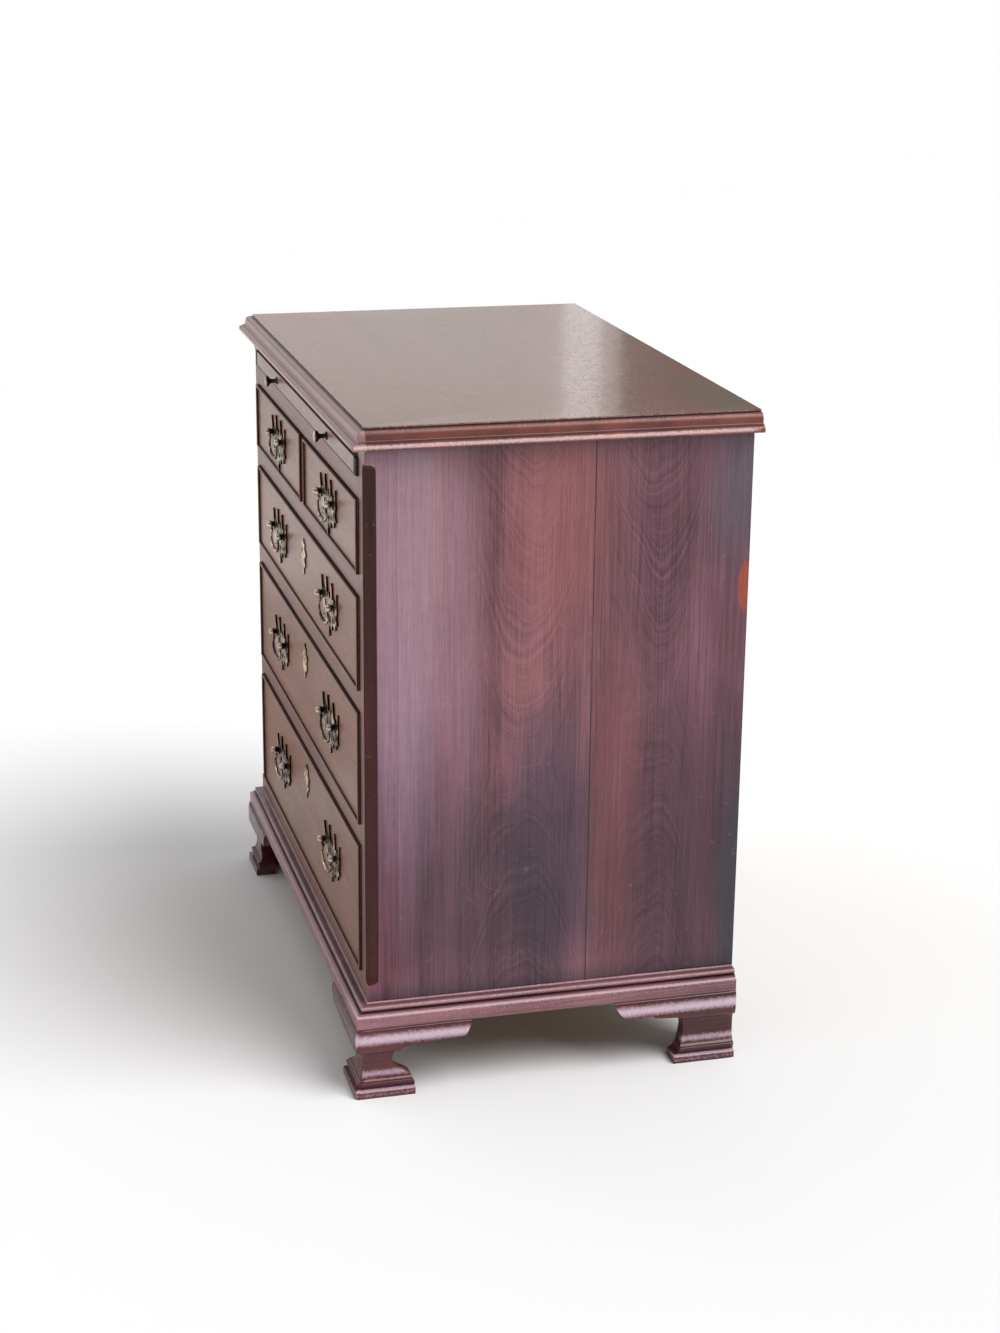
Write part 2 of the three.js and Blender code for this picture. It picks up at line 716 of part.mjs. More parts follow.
// The bail: a rod bent to a swan neck at each end, with a peg that turns in the post's head
function bail() {
  const pegStart = postSpacing / 2 - postHeadRadius - fitGap * 2;
  const right = [...bailShares.map(([x, z]) => new THREE.Vector3(x * bailSpread, 0, z * bailDrop)),
    new THREE.Vector3(pegStart, 0, 0)];
  const left = right.slice(1).reverse().map((point) => new THREE.Vector3(-point.x, 0, point.z));
  const section = [];
  for (let i = 0; i < bailSides; i += 1) {
    const turn = 2 * Math.PI * i / bailSides;
    section.push([bailRadius * Math.cos(turn), bailRadius * Math.sin(turn)]);
  }
  const rod = new THREE.ExtrudeGeometry(shapeOf(section), {
    steps: bailSteps, extrudePath: new THREE.CatmullRomCurve3([...left, ...right]), bevelEnabled: false,
  });
  const pegEnd = postSpacing / 2 - postHeadRadius + pegDepth;
  const pegRoot = pegStart - bailRadius;
  const peg = new THREE.CylinderGeometry(pegRadius, pegRadius, pegEnd - pegRoot, roundSides);
  return join([rod, ...bothSides(peg.rotateZ(Math.PI / 2).translate((pegEnd + pegRoot) / 2, 0, 0))]);
}

// Lock, escutcheon and bolt
const escutcheonShares = [
  [0, -1], [0.22, -0.8], [0.14, -0.62], [0.62, -0.56], [0.8, -0.26], [0.56, -0.06], [1, 0.16],
  [0.72, 0.44], [0.42, 0.48], [0.5, 0.82], [0.2, 0.7], [0, 1],
];

function keySlot(depth) {
  const half = keyholeWidth / 2;
  return board([-half, half], depth, [-keyholeHeight / 2, keyholeHeight / 2]);
}

// The lock case is let into the back of the drawer front. The escutcheon lies on the face,
// and its two pins run through the wood to the case.
function escutcheonPin(radius, depth) {
  const pin = new THREE.CylinderGeometry(radius, radius, depth[1] - depth[0], roundSides);
  return pin.translate(0, (depth[0] + depth[1]) / 2, escutcheonPinSpacing / 2);
}

function escutcheonPins(radius, depth) {
  const pin = escutcheonPin(radius, depth);
  return [pin, pin.clone().translate(0, 0, -escutcheonPinSpacing)];
}

function lock(top, keyLevel) {
  const half = lockWidth / 2;
  const halfRoom = boltWidth / 2 + fitGap;
  const caseFront = frontBack - lockDepth;
  const body = board([-half, half], [caseFront, frontBack], [top - lockHeight, top]);
  const room = board(
    [-halfRoom, halfRoom],
    [boltFront - fitGap, boltFront + boltThickness + fitGap],
    [top - lockHeight + lockWall, top + cutOverrun],
  );
  const outline = evenOutline(escutcheonShares, escutcheonWidth / 2, escutcheonHeight / 2);
  const plate = frontPlate(outline, [faceY - escutcheonThickness, faceY]);
  const pinDepth = [faceY - escutcheonThickness / 2, caseFront + lockWall / 2];
  const pins = escutcheonPins(escutcheonPinRadius, pinDepth);
  const faced = join([plate, ...pins]).translate(0, 0, keyLevel);
  const slot = keySlot([faceY - cutOverrun, boltFront]).translate(0, 0, keyLevel);
  return cut(join([body, faced]), [room, slot]);
}

// Drawers
const drawerEnd = backFace - drawerBackGap;

// Middles of the dovetails up a drawer side, between the bottom and the top edge
function tailLevels(low, high) {
  const count = Math.max(2, Math.round((high - low) / tailPitch));
  const pitch = (high - low) / count;
  return Array.from({ length: count }, (_, i) => low + (i + 0.5) * pitch);
}

// A dovetail from its root to its tip, seen from the side of the drawer, grown for its socket
function tail(middle, root, tip, growth, xSpan) {
  const halfRoot = tailRoot / 2 + growth;
  const halfTip = tailTip / 2 + growth;
  const reach = tip > root ? tip + growth : tip - growth;
  return sidePlate(shapeOf([
    [root, middle - halfRoot], [root, middle + halfRoot],
    [reach, middle + halfTip], [reach, middle - halfTip],
  ]), xSpan);
}

// The cockbead: a thin strip round the front, with a rounded edge that stands proud
function cockbead(half, low, high) {
  const flat = beadProud - beadThickness / 2;
  const root = -beadSetback - glueOverlap;
  const section = new THREE.Shape();
  section.moveTo(-glueOverlap, root);
  section.lineTo(beadThickness, root);
  section.lineTo(beadThickness, flat);
  section.absarc(beadThickness / 2, flat, beadThickness / 2, 0, Math.PI, false);
  section.lineTo(0, -glueOverlap);
  section.lineTo(-glueOverlap, -glueOverlap);
  const right = half - beadThickness;
  const top = (high - low) / 2 - beadThickness;
  const ring = moulding(section, [
    { at: [-right, -top], out: [-1, -1] }, { at: [right, -top], out: [1, -1] },
    { at: [right, top], out: [1, 1] }, { at: [-right, top], out: [-1, 1] },
  ], true);
  return ring.rotateX(Math.PI / 2).translate(0, faceY, (low + high) / 2);
}

function drawer({ name, centre, width, floor, height, handles, handleLevel, locked }) {
  const half = width / 2 - drawerSideGap;
  const low = floor + fitGap;
  const high = floor + height - drawerTopGap;
  const boardLow = low + drawerRunnerHeight;
  const boardHigh = boardLow + drawerBottomThickness;
  const sideTop = high - drawerSideDrop;
  const inner = half - linerThickness;
  const housing = half - linerThickness / 2;
  const keyLevel = floor + height - escutcheonDrop;
  const postLevel = handleLevel + postRise;
  const levels = tailLevels(boardHigh + drawerSideDrop, sideTop - drawerSideDrop);
  const lapEnd = faceY + frontLap;
  const place = (piece) => piece.translate(centre, 0, 0);
  const put = (part, look, geometry) => add(`${name}_${part}`, look, place(geometry));

  // Front, rebated for its bead and cut for the dovetails, the bottom, the handles and the lock
  const core = board(
    [beadThickness - half, half - beadThickness],
    [faceY, frontBack],
    [low + beadThickness, high - beadThickness],
  );
  const rear = board([-half, half], [faceY + beadSetback, frontBack], [low, high]);
  const sockets = levels.flatMap((middle) => bothSides(
    tail(middle, frontBack + fitGap, lapEnd, fitGap, [inner - fitGap, half + cutOverrun]),
  ));
  const groove = board(
    [-housing, housing],
    [frontBack - bottomHousing, frontBack + cutOverrun],
    [boardLow - fitGap, boardHigh + fitGap],
  );
  const shankBore = new THREE.CylinderGeometry(
    postShankRadius + 2 * fitGap, postShankRadius + 2 * fitGap, 2 * frontThickness, roundSides,
  );
  const bores = handles.flatMap((x) => [-1, 1].map((side) => (
    shankBore.clone().translate(x + side * postSpacing / 2, faceY + frontThickness / 2, postLevel)
  )));
  const tools = [...sockets, groove, ...bores];
  if (locked) {
    const halfLock = lockWidth / 2 + fitGap;
    const lockFront = frontBack - lockDepth - fitGap;
    tools.push(board(
      [-halfLock, halfLock],
      [lockFront, frontBack + cutOverrun],
      [high - lockHeight - 2 * fitGap, high + cutOverrun],
    ));
    const pinHoles = escutcheonPins(escutcheonPinRadius + fitGap, [faceY - cutOverrun, frontBack]);
    [...pinHoles, keySlot([faceY - cutOverrun, frontBack])].forEach((tool) => {
      tools.push(tool.translate(0, 0, keyLevel));
    });
  }
  put('front', drawerMahogany, cut(join([core, rear, cockbead(half, low, high)]), tools));

  // Box: two sides dovetailed to the front, and the back between them
  const sideSection = shapeOf([
    [inner, boardHigh + fitGap], [housing, boardHigh + fitGap], [housing, low], [half, low],
    [half, sideTop], [inner, sideTop],
  ]);
  const tails = levels.map((middle) => tail(middle, frontBack, lapEnd, 0, [inner, half]));
  const side = join([frontPlate(sideSection, [frontBack, drawerEnd]), ...tails]);
  const backFoot = boardHigh + fitGap;
  const back = board([-inner, inner], [drawerEnd - drawerBackThickness, drawerEnd], [backFoot, sideTop]);
  put('box', oak, join([...bothSides(side), back]));

  // Bottom board, housed in the front and sides, on its two runners
  const bottomEdge = housing - fitGap;
  const runner = board(
    [bottomEdge - drawerRunnerWidth, bottomEdge],
    [frontBack + fitGap, drawerEnd],
    [low, boardLow + glueOverlap],
  );
  const panel = board(
    [-bottomEdge, bottomEdge], [frontBack - bottomHousing + fitGap, drawerEnd], [boardLow, boardHigh],
  );
  put('bottom', oak, join([panel, ...bothSides(runner)]));

  // Handles
  handles.forEach((x, i) => {
    const hand = handles.length > 1 ? ['_left', '_right'][i] : '';
    put(`backplate${hand}`, brass, handleBacking.clone().translate(x, faceY, handleLevel));
    put(`bail${hand}`, brass, bail().translate(x, faceY - plateThickness - postReach, postLevel));
  });

  // Lock
  if (locked) {
    const lockTop = high - fitGap;
    put('lock', brass, lock(lockTop, keyLevel));
    put('lock_bolt', iron, board(
      [-boltWidth / 2, boltWidth / 2],
      [boltFront, boltFront + boltThickness],
      [lockTop - boltLength, lockTop],
    ));
  }
}

const shortWidth = halfOpening - dividerWidth / 2;
const shortCentre = (halfOpening + dividerWidth / 2) / 2;
[['left', -1], ['right', 1]].forEach(([hand, side]) => drawer({
  name: `short_drawer_${hand}`,
  centre: side * shortCentre,
  width: shortWidth,
  floor: shortFloor,
  height: shortOpening,
  handles: [side * (handleOffset - shortCentre)],
  handleLevel: shortFloor + shortOpening / 2 + shortHandleRise,
  locked: false,
}));
longOpenings.forEach((height, i) => drawer({
  name: `long_drawer_${i + 1}`,
  centre: 0,
  width: 2 * halfOpening,
  floor: longFloors[i],
  height,
  handles: [-handleOffset, handleOffset],
  handleLevel: longFloors[i] + height / 2 + longHandleRises[i],
  locked: true,
}));

chest.position.y = originShift;

export default chest;
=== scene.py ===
import math
import bmesh
import bpy
import numpy as np
from mathutils import Matrix, Vector


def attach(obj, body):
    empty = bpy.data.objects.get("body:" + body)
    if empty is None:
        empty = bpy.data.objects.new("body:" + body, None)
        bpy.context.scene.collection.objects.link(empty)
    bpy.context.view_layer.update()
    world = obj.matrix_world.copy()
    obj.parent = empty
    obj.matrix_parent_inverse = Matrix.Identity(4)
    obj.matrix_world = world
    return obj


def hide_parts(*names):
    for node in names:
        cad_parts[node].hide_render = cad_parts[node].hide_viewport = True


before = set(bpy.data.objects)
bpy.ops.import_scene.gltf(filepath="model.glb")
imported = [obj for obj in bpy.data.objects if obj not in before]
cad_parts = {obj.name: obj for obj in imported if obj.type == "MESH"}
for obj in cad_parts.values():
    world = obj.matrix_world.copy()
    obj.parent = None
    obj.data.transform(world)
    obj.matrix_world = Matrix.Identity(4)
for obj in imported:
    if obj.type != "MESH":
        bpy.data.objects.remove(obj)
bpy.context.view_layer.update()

scene = bpy.context.scene

# Studio: the chest stands on a plain pale floor in a white room. A broad soft light comes from high
# behind its right end, a low lamp before its left corner, and pale panels beyond its left end. A brown
# card on the floor, seen only in the polish of the drawer fronts, takes the glare off their middle.
camera_place = Vector((2.917, -0.7482, 1.3634))
azimuth, elevation, roll = math.radians(74.958), math.radians(17.791), math.radians(0.616)
back = Vector((math.sin(azimuth) * math.cos(elevation), -math.cos(azimuth) * math.cos(elevation), math.sin(elevation)))
level = (-back).cross(Vector((0, 0, 1))).normalized()
rise = level.cross(-back)
right = level * math.cos(roll) + rise * math.sin(roll)
up = rise * math.cos(roll) - level * math.sin(roll)
camera_data = bpy.data.cameras.new("camera")
camera_data.sensor_width = 36
camera_data.lens = 66.06
camera = bpy.data.objects.new("camera", camera_data)
scene.collection.objects.link(camera)
camera.matrix_world = Matrix((
    (right.x, up.x, back.x, camera_place.x),
    (right.y, up.y, back.y, camera_place.y),
    (right.z, up.z, back.z, camera_place.z),
    (0, 0, 0, 1)))
scene.camera = camera
scene.view_settings.view_transform = "Standard"


def soft_light(name, place, aim, size, power, kind="AREA"):
    """A rectangular lamp, or a sun of some breadth, at place and turned to face aim."""
    lamp = bpy.data.lights.new(name, kind)
    lamp.energy = power
    if kind == "AREA":
        lamp.shape = "RECTANGLE"
        lamp.size, lamp.size_y = size
    else:
        lamp.angle = math.radians(size)
    holder = bpy.data.objects.new(name, lamp)
    scene.collection.objects.link(holder)
    holder.location = place
    holder.rotation_euler = (Vector(place) - Vector(aim)).to_track_quat("Z", "Y").to_euler()
    holder.visible_camera = False
    return holder


soft_light("high_light", (2.0, 2.1, 3.8), (0, 0, 0.3), 44, 2.6, "SUN")
soft_light("left_lamp", (-2.2, -1.8, 1.3), (0, -0.2, 0.45), (0.7, 0.9), 7)
soft_light("wide_panel", (-3.0, 0.1, 1.42), (0, 0.1, 1.42), (2.0, 1.1), 3.9)
soft_light("narrow_panel", (-2.95, 1.06, 1.42), (0, 1.06, 1.42), (0.15, 0.9), 0.22)

world = bpy.data.worlds.new("room")
scene.world = world
world.use_nodes = True
room = world.node_tree
direction = room.nodes.new("ShaderNodeTexCoord")
height = room.nodes.new("ShaderNodeSeparateXYZ")
room.links.new(direction.outputs["Generated"], height.inputs[0])
walls = room.nodes.new("ShaderNodeMapRange")
walls.inputs[1].default_value, walls.inputs[2].default_value = 0.05, 0.75
walls.inputs[3].default_value, walls.inputs[4].default_value = 0.18, 0.66
room.links.new(height.outputs["Z"], walls.inputs[0])
dim_side = room.nodes.new("ShaderNodeMapRange")
dim_side.inputs[1].default_value, dim_side.inputs[2].default_value = 0.1, 0.8
dim_side.inputs[3].default_value, dim_side.inputs[4].default_value = 1.0, 0.3
room.links.new(height.outputs["X"], dim_side.inputs[0])
shade = room.nodes.new("ShaderNodeMath")
shade.operation = "MULTIPLY"
room.links.new(walls.outputs[0], shade.inputs[0])
room.links.new(dim_side.outputs[0], shade.inputs[1])
sight = room.nodes.new("ShaderNodeLightPath")
plain = room.nodes.new("ShaderNodeMath")
plain.operation = "MAXIMUM"
room.links.new(shade.outputs[0], plain.inputs[0])
room.links.new(sight.outputs["Is Camera Ray"], plain.inputs[1])
room.links.new(plain.outputs[0], room.nodes["Background"].inputs["Color"])
room.nodes["Background"].inputs["Strength"].default_value = 1.0

floor_mesh = bpy.data.meshes.new("floor")
reach = 90
floor_mesh.from_pydata([(-reach, -reach, 0), (reach, -reach, 0), (reach, reach, 0), (-reach, reach, 0)], [], [(0, 1, 2, 3)])
floor = bpy.data.objects.new("floor", floor_mesh)
scene.collection.objects.link(floor)
floor_paint = bpy.data.materials.new("floor_paint")
floor_paint.use_nodes = True
floor_paint.node_tree.nodes["Principled BSDF"].inputs["Base Color"].default_value = (0.895, 0.895, 0.895, 1)
floor_paint.node_tree.nodes["Principled BSDF"].inputs["Roughness"].default_value = 0.95
floor_paint.node_tree.nodes["Principled BSDF"].inputs["Specular IOR Level"].default_value = 0.0
floor_mesh.materials.append(floor_paint)

card_mesh = bpy.data.meshes.new("brown_card")
card_mesh.from_pydata([(-1.80, -0.70, 0.003), (-0.70, -0.52, 0.003), (-0.70, -0.30, 0.003), (-1.80, -0.36, 0.003)], [], [(0, 1, 2, 3)])
card = bpy.data.objects.new("brown_card", card_mesh)
scene.collection.objects.link(card)
card_paint = floor_paint.copy()
card_paint.node_tree.nodes["Principled BSDF"].inputs["Base Color"].default_value = (0.30, 0.21, 0.16, 1)
card_mesh.materials.append(card_paint)
card.visible_camera = card.visible_diffuse = card.visible_shadow = False


# Carcase: each side is two mahogany boards glued edge to edge between a canted corner post and the
# back. Rails, dustboards and bottom are housed between them. Waxed outside, bare oak within.
class Finish:
    """A material's node tree, with one short call for each node."""

    def __init__(self, name):
        self.material = bpy.data.materials.new(name)
        self.material.use_nodes = True
        self.tree = self.material.node_tree
        self.surface = self.tree.nodes["Principled BSDF"]
        self.place = self.node("TexCoord", out=3)
        self.axis = dict(zip("xyz", self.node("SeparateXYZ", {0: self.place}).node.outputs))

    def node(self, kind, values=(), out=0, **settings):
        """Adds a node, sets its properties, fills its inputs by name or number, returns an output."""
        made = self.tree.nodes.new("ShaderNode" + kind)
        for key, value in settings.items():
            setattr(made, key, value)
        for key, value in dict(values).items():
            self.fill(made.inputs[key], value)
        return made.outputs[out]

    def fill(self, socket, value):
        if isinstance(value, bpy.types.NodeSocket):
            self.tree.links.new(value, socket)
        else:
            socket.default_value = value

    def maths(self, operation, *values):
        return self.node("Math", enumerate(values), operation=operation)

    def blend(self, amount, first, second, kind="MIX"):
        return self.node("Mix", {0: amount, 6: first, 7: second}, 2, data_type="RGBA", blend_type=kind)

    def ramp(self, amount, stops):
        output = self.node("ValToRGB", {0: amount})
        steps = output.node.color_ramp.elements
        for i, (place, colour) in enumerate(stops):
            step = steps[i] if i < 2 else steps.new(place)
            step.position = place
            step.color = (*colour, 1)
        return output

    def stretched(self, along, fine, coarse, detail=3.0):
        """Noise drawn out along one axis: fine cells to the metre across it, coarse ones along it."""
        parts = [self.maths("MULTIPLY", self.axis[k], coarse if k == along else fine) for k in "xyz"]
        vector = self.node("CombineXYZ", {i: part for i, part in enumerate(parts)})
        return self.node("TexNoise", {"Vector": vector, "Scale": 1.0, "Detail": detail})

    def spread(self, value, low, high, to_low=0.0, to_high=1.0):
        return self.node("MapRange", {0: value, 1: low, 2: high, 3: to_low, 4: to_high})

    def spot(self, centre, size, soft, sway=None, wander=0.0):
        """1 inside an ellipsoid and 0 outside it, with an edge that is soft and wanders with the grain."""
        away = self.node("VectorMath", {0: self.place, 1: centre}, operation="SUBTRACT")
        away = self.node("VectorMath", {0: away, 1: tuple(1 / s for s in size)}, operation="MULTIPLY")
        away = self.node("VectorMath", {0: away}, 1, operation="LENGTH")
        if sway is not None:
            away = self.maths("MULTIPLY_ADD", sway, wander, away)
        return self.node("MapRange", {0: away, 1: 1 + soft, 2: 1 - soft}, interpolation_type="SMOOTHSTEP")


def mahogany(name, along, across, dark, light, gloss, hearts=(), seam=None, contrast=0.6, marks=(),
             inside=None, inside_colours=None, lining=None, specular=0.5, coat=0.3, pale=(0.45, 0.33, 0.32), zones=(),
             streak=0.5, chip=85.0, ragged=2.2, bump=0.15, wave=0.0, grain=0.35):
    """Figured and waxed wood. Growth rings show as nested arches: level curves of |l - l0| - bow (a - a0)^2
    bent by noise, where a runs across the board and l along it. Streaks and pores follow the grain. Each
    mark is (centre, size, softness, wander, amount, colour, way of blending). Each zone is (test, dark, light),
    and may add how dull it is. A wave is how far an old board's face rises and falls, in metres, and
    grain how much its fine streaks and patina lighten and darken it."""
    wood = Finish(name)
    a, l = wood.axis[across], wood.axis[along]
    sway = wood.maths("SUBTRACT", wood.stretched(along, 13, 4), 0.5)
    streaks = wood.stretched(along, 620, 11, 4.0)
    bands = wood.stretched(along, 34, 1.4, 3.0)
    mottle = wood.node("TexNoise", {"Vector": wood.place, "Scale": 7.0, "Detail": 3.0})
    tone = wood.maths("MULTIPLY_ADD", wood.maths("SUBTRACT", streaks, 0.5), streak, 0.5)
    tone = wood.maths("MULTIPLY_ADD", wood.maths("SUBTRACT", bands, 0.5), 0.6, tone)
    tone = wood.maths("MULTIPLY_ADD", wood.maths("SUBTRACT", mottle, 0.5), 0.6, tone)
    if hearts:
        heart = [hearts[0][k] for k in range(3)]
        if seam is not None:
            beyond = wood.maths("GREATER_THAN", a, seam)
            heart = [wood.maths("MULTIPLY_ADD", beyond, hearts[1][k] - hearts[0][k], hearts[0][k]) for k in range(3)]
        off_a = wood.maths("MULTIPLY_ADD", sway, 0.035, wood.maths("SUBTRACT", a, heart[0]))
        off_l = wood.maths("SUBTRACT", l, heart[1])
        off_l = wood.maths("SQRT", wood.maths("MULTIPLY_ADD", off_l, off_l, 0.0006))
        arch = wood.maths("MULTIPLY", wood.maths("MULTIPLY", off_a, off_a), heart[2])
        arch = wood.maths("SUBTRACT", off_l, arch)
        arch = wood.maths("MULTIPLY_ADD", sway, 0.10, arch)
        rings = wood.node("TexNoise", {"W": wood.maths("MULTIPLY", arch, 105.0), "Scale": 1.0, "Detail": 5.0, "Roughness": 0.72},
                          noise_dimensions="1D")
        near = wood.spread(wood.maths("ABSOLUTE", off_a), 0.11, 0.03, 0.35, 1.0)
        rings = wood.maths("MULTIPLY", wood.maths("SUBTRACT", rings, 0.5), near)
        tone = wood.maths("MULTIPLY_ADD", rings, contrast, tone)
    middle = tuple(0.5 * (p + q) for p, q in zip(dark, light))
    colour = wood.ramp(tone, [(0.26, dark), (0.76, light), (0.5, middle)])
    for centre, size, soft, wander, amount, tint, kind in marks:
        inner = wood.maths("MULTIPLY", wood.spot(centre, size, soft, sway, wander), amount)
        colour = wood.blend(inner, colour, (*tint, 1), kind)
    dull = []
    for test, low_tint, high_tint, *flat in zones:
        inner = test(wood)
        colour = wood.blend(inner, colour, wood.ramp(tone, [(0.26, low_tint), (0.76, high_tint)]))
        dull += [wood.maths("MULTIPLY", inner, level) for level in flat]
    patina = wood.node("TexNoise", {"Vector": wood.place, "Scale": 70.0, "Detail": 6.0, "Roughness": 0.7})
    patina = wood.maths("MULTIPLY_ADD", wood.maths("SUBTRACT", patina, 0.5), grain, 1.0)
    patina = wood.maths("MULTIPLY_ADD", wood.maths("SUBTRACT", streaks, 0.5), 1.6 * grain, patina)
    colour = wood.node("HueSaturation", {"Color": colour, "Value": patina})
    if inside is not None:
        where, low, high = inside
        core = wood.ramp(tone, [(0.26, inside_colours[0]), (0.76, inside_colours[1])])
        outer = wood.spread(wood.maths("ABSOLUTE", wood.axis[where]), low, high)
        colour = wood.blend(outer, core, colour)
    if seam is not None:
        joint = wood.maths("ABSOLUTE", wood.maths("SUBTRACT", a, seam))
        joint = wood.maths("MULTIPLY", wood.spread(joint, 0.0012, 0.0004), wood.spread(wood.stretched(along, 9, 5), 0.3, 0.55))
        colour = wood.blend(joint, colour, (0.2, 0.2, 0.22, 1), "MULTIPLY")
    pores = wood.spread(wood.stretched(along, 1150, 70, 1.0), 0.58, 0.74)
    colour = wood.blend(wood.maths("MULTIPLY", pores, 0.28), colour, (0.3, 0.26, 0.27, 1), "MULTIPLY")
    scrape = wood.node("TexNoise", {"Vector": wood.place, "Scale": 9.0, "Detail": 1.0, "Distortion": 1.6})
    scrape = wood.spread(wood.maths("ABSOLUTE", wood.maths("SUBTRACT", scrape, 0.5)), 0.0035, 0.001)
    scrape = wood.maths("MULTIPLY", scrape, wood.spread(wood.node("TexNoise", {"Vector": wood.place, "Scale": 14.0}), 0.56, 0.7))
    colour = wood.blend(wood.maths("MULTIPLY", scrape, 0.12), colour, (*pale, 1))
    # The rub attribute carries wear and painted light. Above 0 it mixes in the pale colour, for wear and painted
    # highlights; below 0 it darkens towards black, for painted shade.
    rub = wood.node("Attribute", out=2, attribute_name="rub")
    chips = wood.node("TexNoise", {"Vector": wood.place, "Scale": chip, "Detail": 5.0, "Roughness": 0.7})
    worn = wood.spread(wood.maths("MULTIPLY_ADD", wood.maths("SUBTRACT", chips, 0.5), ragged, rub), 0.3, 1.1)
    colour = wood.blend(wood.maths("MULTIPLY", worn, 0.8), colour, (*pale, 1))
    colour = wood.blend(wood.spread(rub, -0.1, -0.7, 0.0, 0.9), colour, (0.012, 0.008, 0.009, 1))
    rough = wood.maths("MULTIPLY_ADD", mottle, 0.14, gloss - 0.07)
    rough = wood.maths("MULTIPLY_ADD", pores, 0.12, wood.maths("MULTIPLY_ADD", worn, 0.15, rough))
    for level in dull:
        rough = wood.maths("MAXIMUM", rough, level)
    if lining is not None:
        where, limit, dull_dark, dull_light = lining
        bare = wood.maths("GREATER_THAN", wood.axis[where], limit)
        colour = wood.blend(bare, colour, wood.ramp(bands, [(0.3, dull_dark), (0.7, dull_light)]))
        rough = wood.maths("MAXIMUM", rough, wood.maths("MULTIPLY", bare, 0.65))
    wood.fill(wood.surface.inputs["Base Color"], colour)
    wood.fill(wood.surface.inputs["Roughness"], rough)
    relief = wood.maths("MULTIPLY_ADD", pores, -0.7, wood.maths("MULTIPLY", streaks, 0.4))
    relief = wood.maths("MULTIPLY_ADD", chips, wood.maths("MULTIPLY", rub, 0.6), relief)
    facing = wood.node("Bump", {"Height": relief, "Strength": bump, "Distance": 0.0004})
    if wave:
        swell = wood.node("TexNoise", {"Vector": wood.place, "Scale": 24.0, "Detail": 2.0})
        facing = wood.node("Bump", {"Height": swell, "Strength": 1.0, "Distance": wave, "Normal": facing})
    wood.fill(wood.surface.inputs["Normal"], facing)
    wood.surface.inputs["Specular IOR Level"].default_value = specular
    wood.surface.inputs["Coat Weight"].default_value = coat
    wood.surface.inputs["Coat Roughness"].default_value = max(0.06, gloss - 0.12)
    return wood.material


def dress(name, material, softness=0.0006):
    """Gives a CAD node its finish, and rubs its arrises down with a fine bevel."""
    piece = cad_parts[name]
    piece.data.materials.clear()
    piece.data.materials.append(material)
    if softness:
        weld = piece.modifiers.new("merge", "WELD")
        weld.merge_threshold = 0.00002
        rub = piece.modifiers.new("rubbed_arrises", "BEVEL")
        rub.width = softness
        rub.segments = 2
        rub.limit_method = "ANGLE"
        rub.angle_limit = math.radians(28)
    return piece


side_marks = [
    # A pale purplish haze near the front edge, and a fainter one beside it: painted sheen of glare on the polish.
    ((0.367, -0.178, 0.66), (0.2, 0.055, 0.34), 0.5, 0.5, 0.75, (0.40, 0.248, 0.308), "MIX"),
    ((0.367, -0.105, 0.56), (0.2, 0.022, 0.24), 0.6, 0.5, 0.5, (0.34, 0.185, 0.235), "MIX"),
    ((0.367, -0.137, 0.69), (0.2, 0.008, 0.10), 0.7, 0.3, 0.3, (0.36, 0.15, 0.145), "MIX"),
    ((0.367, -0.078, 0.60), (0.2, 0.012, 0.17), 0.7, 0.5, 0.35, (0.62, 0.50, 0.52), "MULTIPLY"),
    ((0.367, 0.01, 0.68), (0.2, 0.055, 0.13), 0.6, 0.5, 0.5, (0.37, 0.120, 0.112), "MIX"),
    ((0.367, -0.035, 0.50), (0.2, 0.028, 0.035), 0.5, 0.4, 0.4, (0.35, 0.135, 0.135), "MIX"),
    ((0.367, -0.15, 0.27), (0.2, 0.10, 0.20), 0.6, 0.5, 0.6, (0.70, 0.68, 0.82), "MULTIPLY"),
    ((0.367, 0.005, 0.29), (0.2, 0.058, 0.16), 0.4, 0.6, 0.85, (0.34, 0.42, 0.58), "MULTIPLY"),
    ((0.367, -0.07, 0.22), (0.2, 0.10, 0.13), 0.6, 0.6, 0.7, (0.42, 0.46, 0.56), "MULTIPLY"),
    ((0.367, 0.165, 0.62), (0.2, 0.10, 0.34), 0.5, 0.5, 0.8, (0.76, 0.75, 0.88), "MULTIPLY"),
    ((0.367, 0.078, 0.34), (0.2, 0.032, 0.2), 0.5, 0.4, 0.6, (0.19, 0.055, 0.060), "MIX"),
    ((0.367, 0.175, 0.24), (0.2, 0.09, 0.19), 0.6, 0.5, 0.8, (0.34, 0.26, 0.40), "MULTIPLY"),
    ((0.367, 0.238, 0.22), (0.2, 0.03, 0.17), 0.6, 0.3, 0.85, (0.03, 0.03, 0.045), "MIX"),
    ((0.367, 0.220, 0.71), (0.2, 0.035, 0.08), 0.7, 0.4, 0.6, (0.11, 0.10, 0.13), "MIX"),
    # A dark band under the top: painted shadow of the top's overhang.
    ((0.367, 0.02, 0.778), (0.2, 0.5, 0.009), 0.6, 0.5, 0.85, (0.36, 0.4, 0.46), "MULTIPLY"),
    ((0.367, 0.02, 0.113), (0.2, 0.5, 0.016), 0.7, 0.5, 0.75, (0.42, 0.52, 0.58), "MULTIPLY"),
    ((0.367, 0.2285, 0.593), (0.2, 0.0085, 0.030), 0.12, 0.1, 0.95, (0.33, 0.062, 0.026), "MIX"),
    ((0.367, -0.0045, 0.218), (0.2, 0.0006, 0.075), 0.4, 0.0, 0.8, (0.15, 0.15, 0.18), "MULTIPLY"),
    ((0.367, -0.2057, 0.45), (0.004, 0.0011, 0.305), 0.3, 0.0, 0.6, (0.25, 0.25, 0.28), "MULTIPLY"),
]
red_brown = ((0.045, 0.016, 0.013), (0.13, 0.048, 0.04))
side_dark, side_light = (0.10, 0.030, 0.042), (0.305, 0.120, 0.150)
side_hearts = [(-0.031, 0.40, 29), (0.122, 0.47, 40)]
